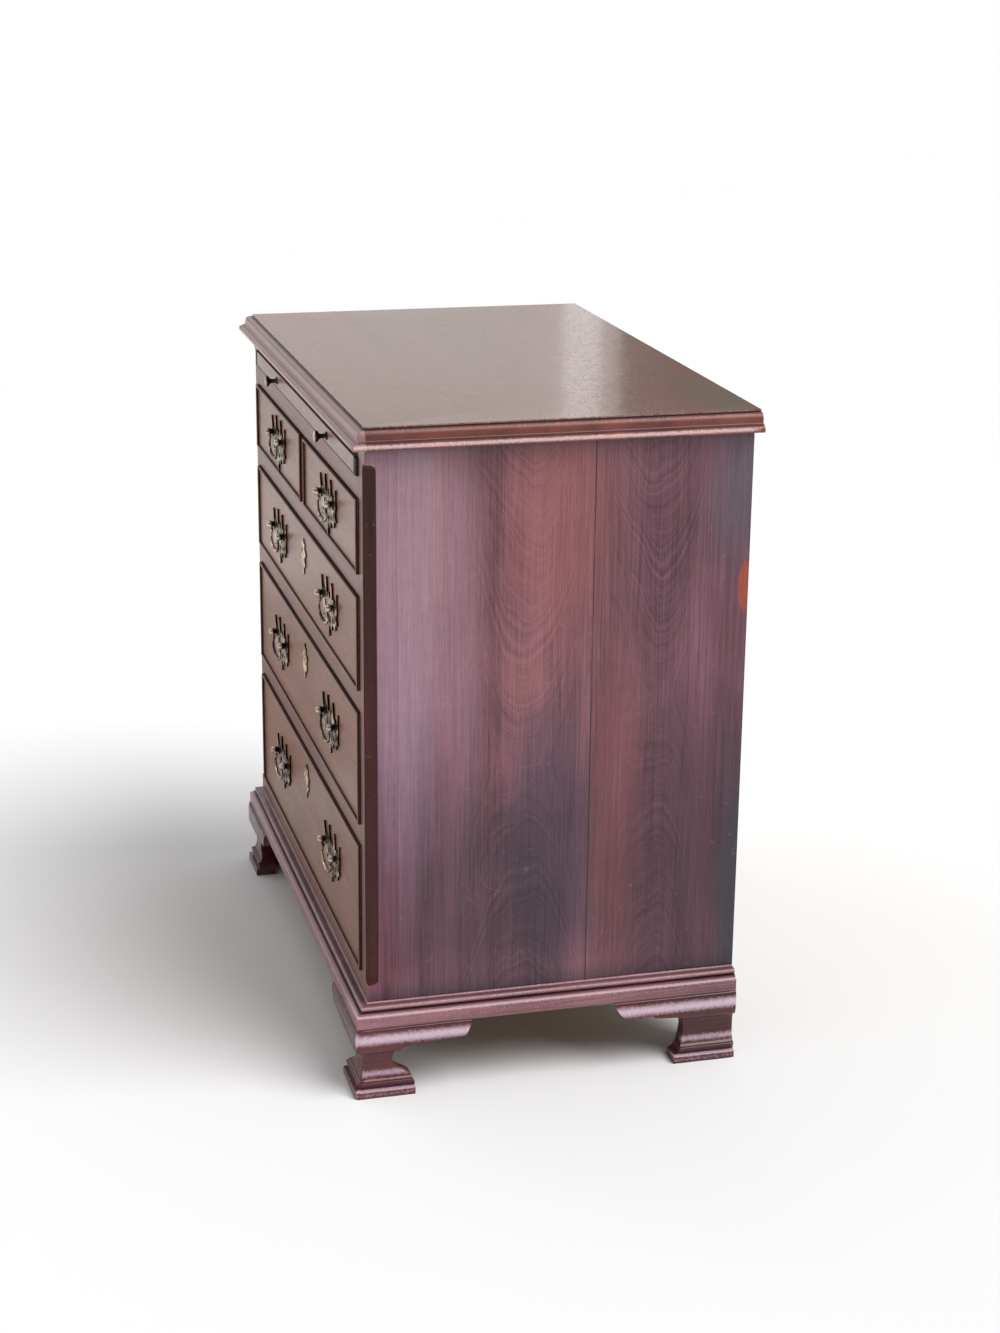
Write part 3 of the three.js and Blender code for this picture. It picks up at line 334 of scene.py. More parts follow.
side_wood = mahogany("side_mahogany", "z", "y", side_dark, side_light, 0.36, hearts=side_hearts, seam=0.0462,
                     contrast=0.65, marks=side_marks, specular=0.45, coat=0.15, inside=("x", 0.3662, 0.3668), inside_colours=red_brown)
left_colours = (0.075, 0.024, 0.024), (0.25, 0.098, 0.088)
left_side_wood = mahogany("left_side_mahogany", "z", "y", *left_colours, 0.36, hearts=side_hearts,
                          seam=0.0462, contrast=0.65, specular=0.45, coat=0.15, inside=("x", 0.3662, 0.3668),
                          inside_colours=red_brown)
dress("side_right", side_wood, 0.0004)
dress("side_left", left_side_wood, 0.0004)


def cant_face(wood):
    """1 on the slanting face of a corner post, which lies behind the front of the case and in from its side."""
    inner = wood.spread(wood.maths("ABSOLUTE", wood.axis["x"]), 0.3668, 0.3664)
    return wood.maths("MINIMUM", inner, wood.spread(wood.axis["y"], -0.2180, -0.2176))


def cant_arrises(wood):
    """1 along the two long edges of the slanting face, which are coloured near black."""
    outer = wood.spread(wood.maths("ABSOLUTE", wood.axis["x"]), 0.3655, 0.3661)
    edge = wood.maths("MAXIMUM", outer, wood.spread(wood.axis["y"], -0.2167, -0.2173))
    return wood.maths("MULTIPLY", wood.maths("MINIMUM", cant_face(wood), edge), 0.85)


def stile_face(wood):
    """1 on the front of a corner post."""
    return wood.spread(wood.axis["y"], -0.2176, -0.2180)


rail_dark, rail_light = (0.165, 0.070, 0.063), (0.29, 0.130, 0.114)
post_zones = [
    (stile_face, rail_dark, rail_light), (cant_face, (0.036, 0.007, 0.006), (0.105, 0.019, 0.017), 0.6),
    (cant_arrises, (0.012, 0.006, 0.007), (0.022, 0.010, 0.011), 0.5)]
dress("corner_post_right", mahogany("right_post_mahogany", "z", "y", side_dark, side_light, 0.36, contrast=0.4,
                                    marks=side_marks, specular=0.3, coat=0.0, zones=post_zones), 0.0006)
dress("corner_post_left", mahogany("left_post_mahogany", "z", "y", *left_colours, 0.36, contrast=0.4,
                                   specular=0.3, coat=0.0, zones=post_zones), 0.0006)


def painted_shadow_under_top(wood):
    """1 on the rail above the slide, coloured near black: painted shadow in the lee of the top."""
    return wood.spread(wood.axis["z"], 0.7569, 0.7575)


# The rails' zone above the slide is painted shadow under the top.
rail_wood = mahogany("rail_mahogany", "x", "z", rail_dark, rail_light, 0.36, specular=0.24, coat=0.05,
                     zones=[(painted_shadow_under_top, (0.014, 0.008, 0.010), (0.026, 0.015, 0.017), 0.9)],
                     lining=("y", -0.1822, (0.16, 0.10, 0.055), (0.36, 0.25, 0.15)))
for name in ("slide_frame", "drawer_rail_1", "drawer_rail_2", "drawer_rail_3", "bottom_board"):
    dress(name, rail_wood)
# The divider between the short drawers is coloured near black: painted shade, standing for the shaded sides of the
# drawers beside it.
dress("short_drawer_divider", mahogany("divider_painted_shade", "z", "x", (0.012, 0.006, 0.007), (0.030, 0.014, 0.016), 0.8,
                                       specular=0.04, coat=0.0))


def plain_wood(name, along, dark, light, rough):
    """Unpolished oak or pine: long streaks along the grain over slow clouds of dirt."""
    wood = Finish(name)
    streaks = wood.stretched(along, 210, 9, 5.0)
    cloud = wood.node("TexNoise", {"Vector": wood.place, "Scale": 6.0, "Detail": 3.0})
    tone = wood.maths("ADD", wood.maths("MULTIPLY", streaks, 0.9), wood.maths("MULTIPLY", cloud, 0.5))
    middle = tuple(0.5 * (p + q) for p, q in zip(dark, light))
    wood.fill(wood.surface.inputs["Base Color"], wood.ramp(tone, [(0.45, dark), (0.95, light), (0.7, middle)]))
    wood.fill(wood.surface.inputs["Roughness"], wood.maths("MULTIPLY_ADD", streaks, 0.2, rough - 0.1))
    wood.fill(wood.surface.inputs["Normal"], wood.node("Bump", {"Height": streaks, "Strength": 0.3, "Distance": 0.0005}))
    return wood.material


oak = plain_wood("oak", "y", (0.16, 0.09, 0.045), (0.42, 0.28, 0.16), 0.65)
for name in ("dustboard_1", "dustboard_2", "dustboard_3"):
    dress(name, oak, 0)
dress("back_boards", plain_wood("old_pine", "z", (0.1, 0.06, 0.035), (0.3, 0.19, 0.11), 0.75), 0.0005)


# Ogee bracket feet: run in thick mahogany, sawn to a scroll and mitred round the front corners, with
# a plain bracket across the back of the rear ones. Each is backed by a glue block in its angle.
def shell(grid, caps=True):
    """Points and faces of grid[i, j]: rings of points j, carried along i. Each end is closed by a ladder of
    faces that joins point j of its ring to the point as far from the ring's other end."""
    n, m = grid.shape[:2]
    index = np.arange(n * m).reshape(n, m)
    beside = np.roll(index, -1, axis=1)
    quads = np.stack([index[:-1], beside[:-1], beside[1:], index[1:]], -1).reshape(-1, 4)
    if caps:
        j = np.arange(m // 2 - 1)
        ladder = np.stack([j, j + 1, m - 2 - j, m - 1 - j], -1)
        quads = np.concatenate([quads, ladder[:, ::-1], ladder + (n - 1) * m])
    return grid.reshape(-1, 3), quads.tolist()


def closed_piece(name, grid, body, material, stands_for=(), rub=None, crease=32, caps=True):
    """A piece of one shell, with a rub value at each of its points: wear and painted highlight above 0, painted shade
    below it.
    """
    n, m = grid.shape[:2]
    points, faces = shell(grid, caps)
    mesh = bpy.data.meshes.new(name)
    mesh.from_pydata(points.tolist(), [], faces)
    worn = mesh.attributes.new("rub", "FLOAT", "POINT")
    worn.data.foreach_set("value", np.zeros(n * m) if rub is None else np.broadcast_to(rub, (n, m)).ravel())
    return finished(name, mesh, body, material, stands_for, crease)


def finished(name, mesh, body, material, stands_for=(), crease=32):
    """Closes a mesh's seams and poles, turns its faces outwards and sets it in the model on its body."""
    shape = bmesh.new()
    shape.from_mesh(mesh)
    bmesh.ops.remove_doubles(shape, verts=shape.verts, dist=0.000002)
    bmesh.ops.dissolve_degenerate(shape, edges=shape.edges, dist=0.0000005)
    bmesh.ops.recalc_face_normals(shape, faces=shape.faces)
    shape.to_mesh(mesh)
    shape.free()
    mesh.shade_smooth()
    mesh.set_sharp_from_angle(angle=math.radians(crease))
    mesh.materials.append(material)
    piece = bpy.data.objects.new(name, mesh)
    scene.collection.objects.link(piece)
    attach(piece, body)
    if stands_for:
        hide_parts(*stands_for)
    return piece


def arc(start, control, end, steps):
    """Points of a quadratic curve, (1-t)^2 start + 2t(1-t) control + t^2 end, without its last point."""
    t = np.linspace(0, 1, steps, endpoint=False)[:, None]
    return (1 - t) ** 2 * np.array(start) + 2 * t * (1 - t) * np.array(control) + t ** 2 * np.array(end)


def tremble(points, size, pitch=55.0):
    """Old worn faces are never true: a sum of sines of unlike pitch over x, y and z, from 0 to size."""
    x, y, z = points[..., 0] * pitch, points[..., 1] * pitch, points[..., 2] * pitch
    wave = np.sin(2.1 * x + 1.3 * z + 0.4) + np.sin(3.3 * y - 1.9 * x + 2.0) + np.sin(4.1 * z + 2.7 * y + 1.1)
    fine = np.sin(9.7 * x + 7.9 * y) * np.sin(11.3 * z - 8.1 * y)
    return size * (0.5 + wave / 8 + fine / 8)


ogee = np.concatenate([
    arc((0.0192, 0.0), (0.020, 0.0), (0.020, 0.0008), 3), arc((0.020, 0.0008), (0.020, 0.005), (0.020, 0.0087), 4),
    arc((0.020, 0.0087), (0.020, 0.0095), (0.0190, 0.0095), 3), arc((0.0190, 0.0095), (0.017, 0.0095), (0.0152, 0.0096), 2),
    arc((0.0152, 0.0096), (0.0150, 0.0125), (0.0168, 0.0165), 4), arc((0.0168, 0.0165), (0.0174, 0.0180), (0.0160, 0.0186), 4),
    arc((0.0160, 0.0186), (0.0095, 0.0200), (0.0095, 0.036), 9), arc((0.0095, 0.036), (0.0095, 0.042), (0.0095, 0.0485), 5),
    arc((0.0095, 0.0485), (0.0097, 0.0560), (0.016, 0.0568), 7), arc((0.016, 0.0568), (0.020, 0.0575), (0.020, 0.070), 8),
    arc((0.020, 0.070), (0.020, 0.075), (0.020, 0.079), 4), arc((0.020, 0.079), (0.020, 0.0872), (0.0175, 0.088), 6),
    [(0.0175, 0.088)]])
ogee = np.column_stack([np.interp(ogee[:, 1], ogee[:, 1], ogee[:, 0]), np.maximum.accumulate(ogee[:, 1])])


def scroll_edge(scroll, levels):
    """How far a bracket reaches from its corner at each level: the sawn toe, neck, arch, cusp, lobe and tip."""
    t = np.linspace(0, 1, 25)[:, None]
    toe, sweep, neck, bend, arch = (np.array(p) for p in scroll["curve"])
    pad = np.array([scroll["pad"], 0.0095])
    rise_curve = (1 - t) ** 3 * pad + 3 * t * (1 - t) ** 2 * toe + 3 * t ** 2 * (1 - t) * sweep + t ** 3 * neck
    arch_curve = (1 - t) ** 2 * neck + 2 * t * (1 - t) * bend + t ** 2 * arch
    cusp, lobe, tip = (np.array(p) for p in scroll["lobe"])
    lobe_curve = (1 - t) ** 2 * lobe + 2 * t * (1 - t) * np.array([(lobe[0] + tip[0]) / 2, lobe[1]]) + t ** 2 * tip
    line = np.concatenate([[(scroll["pad"], 0.0)], rise_curve, arch_curve, [cusp, (cusp[0], lobe[1] - 0.00002)], lobe_curve])
    order = np.maximum.accumulate(line[:, 1]) + np.arange(len(line)) * 1e-9
    return np.interp(levels, order, line[:, 0])


def foot(name, corner, hands, scrolls, offsets, blocks, thickness, material, stands_for):
    """Level sections of an L, from the floor up. Its outer faces stand off the corner's two planes by the
    ogee's height curve, its arms end at the sawn edge, and its inner faces are a bracket's thickness in."""
    edge_levels = [0.06649, 0.06651, 0.0663, 0.0685, 0.06852, 0.0668, 0.0635, 0.0636] if scrolls[1] else []
    levels = np.unique(np.round(np.concatenate([ogee[:, 1], np.linspace(0, 0.088, 60), edge_levels]), 6))
    stand = np.interp(levels, ogee[:, 1] + np.arange(len(ogee)) * 1e-9, ogee[:, 0])
    reach_side, reach_front = scroll_edge(scrolls[0], levels), scroll_edge(scrolls[1], levels)
    side_off, front_off = stand * offsets[0], stand * offsets[1]
    steps = np.linspace(0, 1, 40)
    arm_side = np.stack([side_off[:, None] + 0 * steps, -front_off[:, None] + (front_off + reach_side)[:, None] * steps], -1)
    arm_front = np.stack([side_off[:, None] - (side_off + reach_front)[:, None] * steps, -front_off[:, None] + 0 * steps], -1)
    inner_side = np.stack([-thickness[0] + 0 * steps + 0 * levels[:, None],
                           thickness[1] + (reach_side[:, None] - thickness[1]) * steps], -1)
    inner_front = np.stack([-thickness[0] - (reach_front[:, None] - thickness[0]) * steps,
                            thickness[1] + 0 * steps + 0 * levels[:, None]], -1)
    inner_side = np.where(steps[None, :, None] < 0.02, [-blocks, blocks + thickness[1] - thickness[0]], inner_side)
    inner_front = np.where(steps[None, :, None] < 0.02, [-blocks, blocks + thickness[1] - thickness[0]], inner_front)
    outer = np.concatenate([arm_side[:, ::-1], arm_front[:, 1:]], axis=1)
    inner = np.concatenate([inner_side[:, ::-1], inner_front[:, 1:]], axis=1)
    ring = np.concatenate([outer, inner[:, ::-1]], axis=1)
    m = outer.shape[1]
    grid = np.concatenate([ring, np.broadcast_to(levels[:, None, None], (*ring.shape[:2], 1))], -1)
    sunk = tremble(grid, 0.0005)
    corner_share = np.concatenate([np.abs(np.linspace(-1, 1, m)), np.ones(m)])
    rounded = 0.0012 * np.exp(-(corner_share[None] * 60 / 2.2) ** 2)
    grid[:, :m, 0] -= np.where(offsets[0] > 0, (sunk[:, :m] + rounded[:, :m]) * (grid[:, :m, 0] > -0.002), 0)
    grid[:, :m, 1] += np.where(offsets[1] > 0, (sunk[:, :m] + rounded[:, :m]) * (grid[:, :m, 1] < 0.002), 0)
    # Painted light on each foot, by height: painted highlights on the bulge, the sweep, the pad's arris and the pad,
    # partly wear; painted shade over the pad, under the toe and under the bulge; and a dark joint line at the top. A
    # front foot's mitred corner also gets a painted highlight.
    painted_light_and_joint = sum(gain * np.exp(-((levels - level) / breadth) ** 2) for level, breadth, gain in (
        (0.0755, 0.0072, 1.15), (0.0275, 0.0046, 0.85), (0.0092, 0.0010, 0.9), (0.0045, 0.0035, 0.45),
        (0.0125, 0.0014, -1.0), (0.0180, 0.0016, -0.5), (0.0548, 0.0022, -0.7), (0.0875, 0.0009, -0.6)))
    arms = np.concatenate([np.ones(40), np.full(m - 40, 0.35), np.zeros(m)])
    rub = painted_light_and_joint[:, None] * arms[None]
    rub = rub + 0.3 * np.exp(-(corner_share[None] * 60 / 1.4) ** 2) * (offsets[1] > 0)
    grid[..., 0] = corner[0] + hands * grid[..., 0]
    grid[..., 1] = corner[1] + (1 if offsets[1] > 0 else -1) * grid[..., 1]
    return closed_piece(name, grid, "carcase", material, stands_for, rub)


foot_wood = mahogany("foot_mahogany", "y", "z", (0.052, 0.010, 0.012), (0.15, 0.032, 0.037), 0.26, specular=0.3,
                     coat=0.3, pale=(0.80, 0.60, 0.72), chip=330.0, ragged=1.1, bump=0.3)
front_scroll = {"pad": 0.0525, "curve": [(0.053, 0.032), (0.027, 0.022), (0.027, 0.045), (0.029, 0.060), (0.046, 0.063)],
                "lobe": [(0.079, 0.0665), (0.111, 0.0685), (0.121, 0.088)]}
rear_scroll = {"pad": 0.077, "curve": [(0.068, 0.012), (0.065, 0.024), (0.0635, 0.042), (0.0635, 0.061), (0.074, 0.061)],
               "lobe": [(0.103, 0.0635), (0.136, 0.0665), (0.155, 0.088)]}
back_scroll = {"pad": 0.040, "curve": [(0.040, 0.020), (0.040, 0.035), (0.042, 0.046), (0.055, 0.066), (0.090, 0.0698)],
               "lobe": [(0.0915, 0.0699), (0.0918, 0.0702), (0.092, 0.088)]}
for hand, side in (("right", 1), ("left", -1)):
    foot(f"front_{hand}_bracket_foot", (0.367 * side, -0.21825), side, (front_scroll, front_scroll), (1, 1), 0.025,
         (0.008, 0.008), foot_wood, (f"front_{hand}_foot",))
    foot(f"rear_{hand}_bracket_foot", (0.367 * side, 0.23275), side, (rear_scroll, back_scroll), (1, 0), 0.036,
         (0.008, 0.018), foot_wood, (f"rear_{hand}_foot",))


# Base moulding: a flat fascia, a fillet, a torus and a small hollow, run in one length for the front
# and one for each side, mitred at the front corners and glued round the foot of the case.
def swept(section, stations):
    """Rings of a section's points, (outward, up), at stations of (x, y, outward x, outward y)."""
    stations = np.array(stations)[:, None, :]
    return np.stack([stations[..., 0] + stations[..., 2] * section[None, :, 0],
                     stations[..., 1] + stations[..., 3] * section[None, :, 0],
                     np.broadcast_to(section[None, :, 1], (len(stations), len(section)))], -1)


def three_sides(half, front, rear, bow=0.985):
    """Stations round the left, front and right of the case, with the mitres worn a little round."""
    left = [(-half, y, -1, 0) for y in np.linspace(rear, front, 24)[:-1]]
    turn = [(-half, front, -1, -0.55), (-half, front, -bow, -bow), (-half, front, -0.55, -1)]
    across = [(x, front, 0, -1) for x in np.linspace(-half, half, 38)[1:-1]]
    return left + [turn[0], turn[1], turn[2]] + across + [(-x, y, -ox, oy) for x, y, ox, oy in turn[::-1]] + \
        [(-x, y, 1, 0) for x, y, _, _ in left[::-1]]


def with_back(profile):
    """Closes an open profile down the wall behind it, with one wall point level with each of its points."""
    wall = np.column_stack([np.zeros(len(profile)), np.linspace(profile[0, 1], profile[-1, 1], len(profile))])
    return np.concatenate([profile, wall[::-1]])


base_profile = np.concatenate([
    [(0.0, 0.088)], arc((0.0158, 0.088), (0.0165, 0.088), (0.0165, 0.0887), 3),
    arc((0.0165, 0.0887), (0.0165, 0.096), (0.0165, 0.1025), 5), arc((0.0165, 0.1025), (0.0165, 0.1035), (0.0153, 0.1035), 4),
    [(0.0127, 0.1034)], arc((0.0125, 0.1040), (0.0125, 0.1067), (0.0118, 0.1067), 3), [(0.0072, 0.1067)],
    np.column_stack([0.0068 + 0.0032 * np.cos(np.linspace(-1.5, 1.5, 13)), 0.1099 + 0.0032 * np.sin(np.linspace(-1.5, 1.5, 13))]),
    arc((0.0026, 0.1133), (0.0002, 0.1134), (0.0, 0.1155), 5), [(0.0, 0.1155)]])
base_ring = with_back(base_profile)
base_grid = swept(base_ring, three_sides(0.367, -0.21825, 0.23275))
count = len(base_profile)
# Painted light on the base moulding, by height: painted highlights on the fascia's top arris (partly wear), the fascia,
# the torus and the hollow above it; painted shade in the crease under the torus and between the torus and the hollow.
base_painted_light_and_wear = np.zeros(len(base_ring))
base_painted_light_and_wear[:count] = sum(gain * np.exp(-((base_profile[:, 1] - level) / breadth) ** 2) for level, breadth, gain in (
    (0.1032, 0.0009, 1.1), (0.0965, 0.0045, 0.30), (0.1112, 0.0014, 0.6), (0.1148, 0.0008, 0.8),
    (0.1067, 0.0010, -0.7), (0.1133, 0.0004, -0.6)))
base_wood = mahogany("base_mahogany", "y", "z", (0.115, 0.040, 0.047), (0.38, 0.168, 0.192), 0.3, coat=0.15,
                     pale=(0.72, 0.48, 0.56), chip=560.0, bump=0.25)
closed_piece("mitred_base_moulding", base_grid, "carcase", base_wood, ("base_moulding",), base_painted_light_and_wear)

# Top: one broad mahogany board. Its front and ends are worked with a quirk, an ovolo, a hollow, a
# fillet and a round nose, and its face is French polished, scratched and a little faded.
top_marks = [
    ((0.30, 0.20, 0.8), (0.20, 0.10, 0.1), 0.8, 0.4, 0.55, (0.75, 0.6, 0.5), "MULTIPLY"),
    ((0.30, 0.215, 0.8), (0.10, 0.03, 0.1), 0.8, 0.4, 0.6, (0.075, 0.070, 0.028), "MIX"),
    ((-0.1, -0.05, 0.8), (0.35, 0.17, 0.1), 0.9, 0.5, 0.35, (0.17, 0.12, 0.11), "MIX"),
]
def end_edge(wood):
    """1 on the moulding along each end of the top."""
    return wood.spread(wood.maths("ABSOLUTE", wood.axis["x"]), 0.3698, 0.3704)


def front_edge(wood):
    """1 on the moulding along the front of the top."""
    return wood.spread(wood.axis["y"], -0.2190, -0.2196)


top_wood = mahogany("top_mahogany", "x", "y", (0.125, 0.036, 0.014), (0.205, 0.068, 0.030), 0.11,
                    hearts=[(0.03, -0.15, 22)], contrast=0.4, marks=top_marks, coat=0.0, specular=0.6, wave=0.00022,
                    pale=(0.80, 0.56, 0.56), streak=0.2, chip=420.0, zones=[
                        (end_edge, (0.10, 0.020, 0.013), (0.26, 0.062, 0.043), 0.40),
                        (front_edge, (0.29, 0.16, 0.148), (0.39, 0.225, 0.205), 0.30)])
worked_edge = np.concatenate([
    arc((0.0160, 0.0), (0.0159, -0.0013), (0.0160, -0.0026), 3), arc((0.0160, -0.0026), (0.0153, -0.0027), (0.0146, -0.0026), 2),
    arc((0.0146, -0.0026), (0.0076, -0.0026), (0.0074, -0.0120), 12), arc((0.0074, -0.0120), (0.0073, -0.0150), (0.0046, -0.0150), 7),
    arc((0.0046, -0.0150), (0.0046, -0.0156), (0.0046, -0.0162), 2), arc((0.0046, -0.0162), (0.0003, -0.0162), (0.0, -0.0206), 8),
    arc((0.0, -0.0206), (0.0, -0.0237), (0.0026, -0.0240), 8), [(0.0026, -0.0240)]])


def edged_board(half, front, rear, top, edge, rounding=0.0016):
    """Rings round a board, one for each point (inset, level) of its worked edge. The back stays square."""
    rings = []
    for inset, drop in edge:
        x, y = half - inset, front + inset
        side = np.linspace(rear, y + rounding, 30)
        turn = np.linspace(0, np.pi / 2, 5)
        left = np.column_stack([np.full(30, -x), side])
        bend = np.column_stack([-x + rounding * (1 - np.cos(turn)), y + rounding * (1 - np.sin(turn))])[1:-1]
        fore = np.column_stack([np.linspace(-x + rounding, x - rounding, 60), np.full(60, y)])
        chain = np.concatenate([left, bend, fore, bend[::-1] * [-1, 1], left[::-1] * [-1, 1]])
        hind = np.column_stack([np.linspace(x, -x, len(chain)), np.full(len(chain), rear)])
        ring = np.concatenate([chain, hind])
        rings.append(np.column_stack([ring, np.full(len(ring), top + drop)]))
    return np.array(rings)


top_grid = edged_board(0.386, -0.23525, 0.23825, 0.8, worked_edge)
front_points = top_grid.shape[1] // 2
# Painted light on the top's worked edge, by level. On the ends: painted highlights on the nose (partly wear), the top
# arris and the head of the ovolo, and painted shade in the quirk and the hollow. Along the front: a faint painted
# highlight on the nose and painted shade in the quirk.
top_painted_light_and_wear = np.zeros(top_grid.shape[:2])
ends = np.abs(np.linspace(-1, 1, front_points)) > 0.53
edge_levels = worked_edge[:, 1]
end_painted_light = sum(gain * np.exp(-((edge_levels + level) / breadth) ** 2) for level, breadth, gain in (
    (0.0196, 0.0022, 1.2), (0.0006, 0.0007, 0.7), (0.0038, 0.0009, 0.4), (0.0026, 0.0006, -0.9), (0.0146, 0.0014, -0.6)))
front_painted_light = 0.3 * np.exp(-((edge_levels + 0.0192) / 0.0020) ** 2) - 0.8 * np.exp(-((edge_levels + 0.0026) / 0.0006) ** 2)
top_painted_light_and_wear[:, :front_points] = np.where(ends, end_painted_light[:, None], front_painted_light[:, None])
closed_piece("moulded_top", top_grid, "carcase", top_wood, ("top_board",), top_painted_light_and_wear)

# Brushing slide: a thin clamped board that draws out under the top, with two turned brass knobs.
def slide_shadow_lines(wood):
    """1 on the slide's ends and along its lower arris, coloured near black: painted shadow where the slide sits in its
    opening.
    """
    end = wood.spread(wood.maths("ABSOLUTE", wood.axis["x"]), 0.3215, 0.3225)
    edge = wood.maths("MAXIMUM", end, wood.spread(wood.axis["z"], 0.7394, 0.7390))
    return wood.maths("MULTIPLY", edge, wood.spread(wood.axis["y"], -0.2170, -0.2180))


slide_wood = mahogany("slide_mahogany", "x", "z", (0.24, 0.135, 0.126), (0.39, 0.240, 0.220), 0.34, specular=0.28, coat=0.1,
                      zones=[(slide_shadow_lines, (0.02, 0.016, 0.018), (0.04, 0.034, 0.038), 0.85)])
dress("slide_board", slide_wood)


def old_brass(name, dark, light, rough, painted_shade_bands=(), polished=None):
    """Lacquered cast brass, dull gold, browned in its hollows by clouds of tarnish. Each band of painted shade runs
    from one y to another, over the casting's edges and what stands between the wood and its face. What stands before
    the plane y = polished is lightened, as polish from hands and as a painted highlight."""
    brass = Finish(name)
    cloud = brass.node("TexNoise", {"Vector": brass.place, "Scale": 170.0, "Detail": 4.0})
    slow = brass.node("TexNoise", {"Vector": brass.place, "Scale": 60.0, "Detail": 2.0})
    tone = brass.maths("ADD", brass.maths("MULTIPLY", cloud, 0.35), brass.maths("MULTIPLY", slow, 0.65))
    middle = tuple(0.65 * p + 0.35 * q for p, q in zip(dark, light))
    colour = brass.ramp(tone, [(0.43, dark), (0.59, light), (0.52, middle)])
    for near, far in painted_shade_bands:
        inside = brass.maths("MULTIPLY", brass.spread(brass.axis["y"], near, near - 0.0002), brass.spread(brass.axis["y"], far, far + 0.0002))
        colour = brass.blend(brass.maths("MULTIPLY", inside, 0.93), colour, (0.02, 0.014, 0.009, 1))
    if polished is not None:
        colour = brass.blend(brass.spread(brass.axis["y"], polished, polished - 0.0006, 0.0, 0.6), colour, (0.80, 0.66, 0.52, 1))
    brass.fill(brass.surface.inputs["Base Color"], colour)
    brass.surface.inputs["Metallic"].default_value = 1.0
    brass.fill(brass.surface.inputs["Roughness"], brass.maths("MULTIPLY_ADD", tone, -0.3, rough + 0.15))
    brass.fill(brass.surface.inputs["Normal"], brass.node("Bump", {"Height": cloud, "Strength": 0.25, "Distance": 0.0005}))
    return brass.material


# The bands below are painted shade: the backplates' edges and the posts' shanks, the escutcheons' edges, and the knobs'
# bodies under the top. The post heads are lightened by polish and a painted highlight.
dark_brass = old_brass("dark_brass", (0.018, 0.011, 0.007), (0.52, 0.37, 0.25), 0.3, [(-0.2190, -0.22150), (-0.2219, -0.2262)], -0.2268)
gilt_brass = old_brass("gilt_brass", (0.15, 0.10, 0.06), (0.80, 0.62, 0.42), 0.28, [(-0.2190, -0.2207)])
bail_brass = old_brass("bail_brass", (0.04, 0.028, 0.018), (0.60, 0.44, 0.30), 0.26)
knob_brass = old_brass("knob_brass", (0.30, 0.26, 0.22), (0.62, 0.54, 0.46), 0.35, [(-0.2190, -0.2358)])


def turned(profile, centre, sides=32):
    """Rings of radius r at reach d before the centre: x = r cos a, z = r sin a, y = -d."""
    angle = np.linspace(0, 2 * np.pi, sides, endpoint=False)
    radius, reach = profile[:, :1], profile[:, 1:]
    return np.stack([centre[0] + radius * np.cos(angle), centre[1] - reach + 0 * angle, centre[2] + radius * np.sin(angle)], -1)


knob_profile = np.concatenate([
    [(0.0, 0.0)], arc((0.0050, 0.0), (0.0052, 0.0008), (0.0046, 0.0014), 3), arc((0.0046, 0.0014), (0.0026, 0.0018), (0.0026, 0.0050), 5),
    arc((0.0026, 0.0050), (0.0026, 0.0088), (0.0052, 0.0102), 5), arc((0.0052, 0.0102), (0.0070, 0.0112), (0.0070, 0.0132), 5),
    arc((0.0070, 0.0132), (0.0068, 0.0150), (0.0046, 0.0154), 4), arc((0.0046, 0.0154), (0.0022, 0.0152), (0.0, 0.0160), 4), [(0.0, 0.0160)]])
for hand, side in (("left", -1), ("right", 1)):
    closed_piece(f"turned_knob_{hand}", turned(knob_profile, (0.168 * side, -0.22125, 0.7473)), "slide",
                 knob_brass, (f"slide_knob_{hand}",), caps=False)

# Drawers: fronts faced with straight-grained mahogany and edged with a cockbead, dovetailed to oak
# sides and back, with an oak bottom on two worn runners.
def painted_shade_on_bead_sides(wood):
    """1 on the sides of the cockbead and of the front, behind the bead's round and off the drawer's face: painted
    shade.
    """
    proud = wood.maths("MULTIPLY", wood.spread(wood.axis["y"], -0.2216, -0.2212), wood.spread(wood.axis["y"], -0.2150, -0.2156))
    return wood.maths("MULTIPLY", proud, wood.spread(wood.maths("ABSOLUTE", wood.maths("ADD", wood.axis["y"], 0.21925)), 0.0001, 0.0003))


# The sides of the drawer fronts and of their beads are coloured near black: painted shade.
front_wood = mahogany("drawer_mahogany", "x", "z", (0.175, 0.064, 0.038), (0.33, 0.140, 0.090), 0.34, specular=0.3,
                      contrast=0.5, coat=0.1, lining=("y", -0.1992, (0.16, 0.10, 0.055), (0.36, 0.25, 0.15)),
                      zones=[(painted_shade_on_bead_sides, (0.012, 0.006, 0.008), (0.022, 0.011, 0.014), 0.9)])
for name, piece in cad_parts.items():
    if name.endswith("_front"):
        dress(name, front_wood, 0.0004)
    elif name.endswith(("_box", "_bottom")):
        dress(name, oak, 0.0004)

# Handles: cast and pierced backplates, two turned posts nutted behind the front, and a bail that is
# thickest in its middle, bent to a swan neck at each end and pegged into the posts.
def through(points, spans=5, closed=True):
    """A smooth line through points: on each span the cubic 0.5 (2b + (c-a)t + (2a-5b+4c-d)t^2 + (3b-a-3c+d)t^3)."""
    p = np.array(points, dtype=float)
    if not closed:
        p = np.concatenate([p[:1], p, p[-1:]])
    a, b, c, d = (np.roll(p, k, axis=0)[:, None] for k in (1, 0, -1, -2))
    t = np.linspace(0, 1, spans, endpoint=False)[None, :, None]
    line = 0.5 * (2 * b + (c - a) * t + (2 * a - 5 * b + 4 * c - d) * t ** 2 + (3 * b - a - 3 * c + d) * t ** 3)
    if closed:
        return line.reshape(-1, 2)
    return np.concatenate([line[1:-2].reshape(-1, 2), p[-1:]])


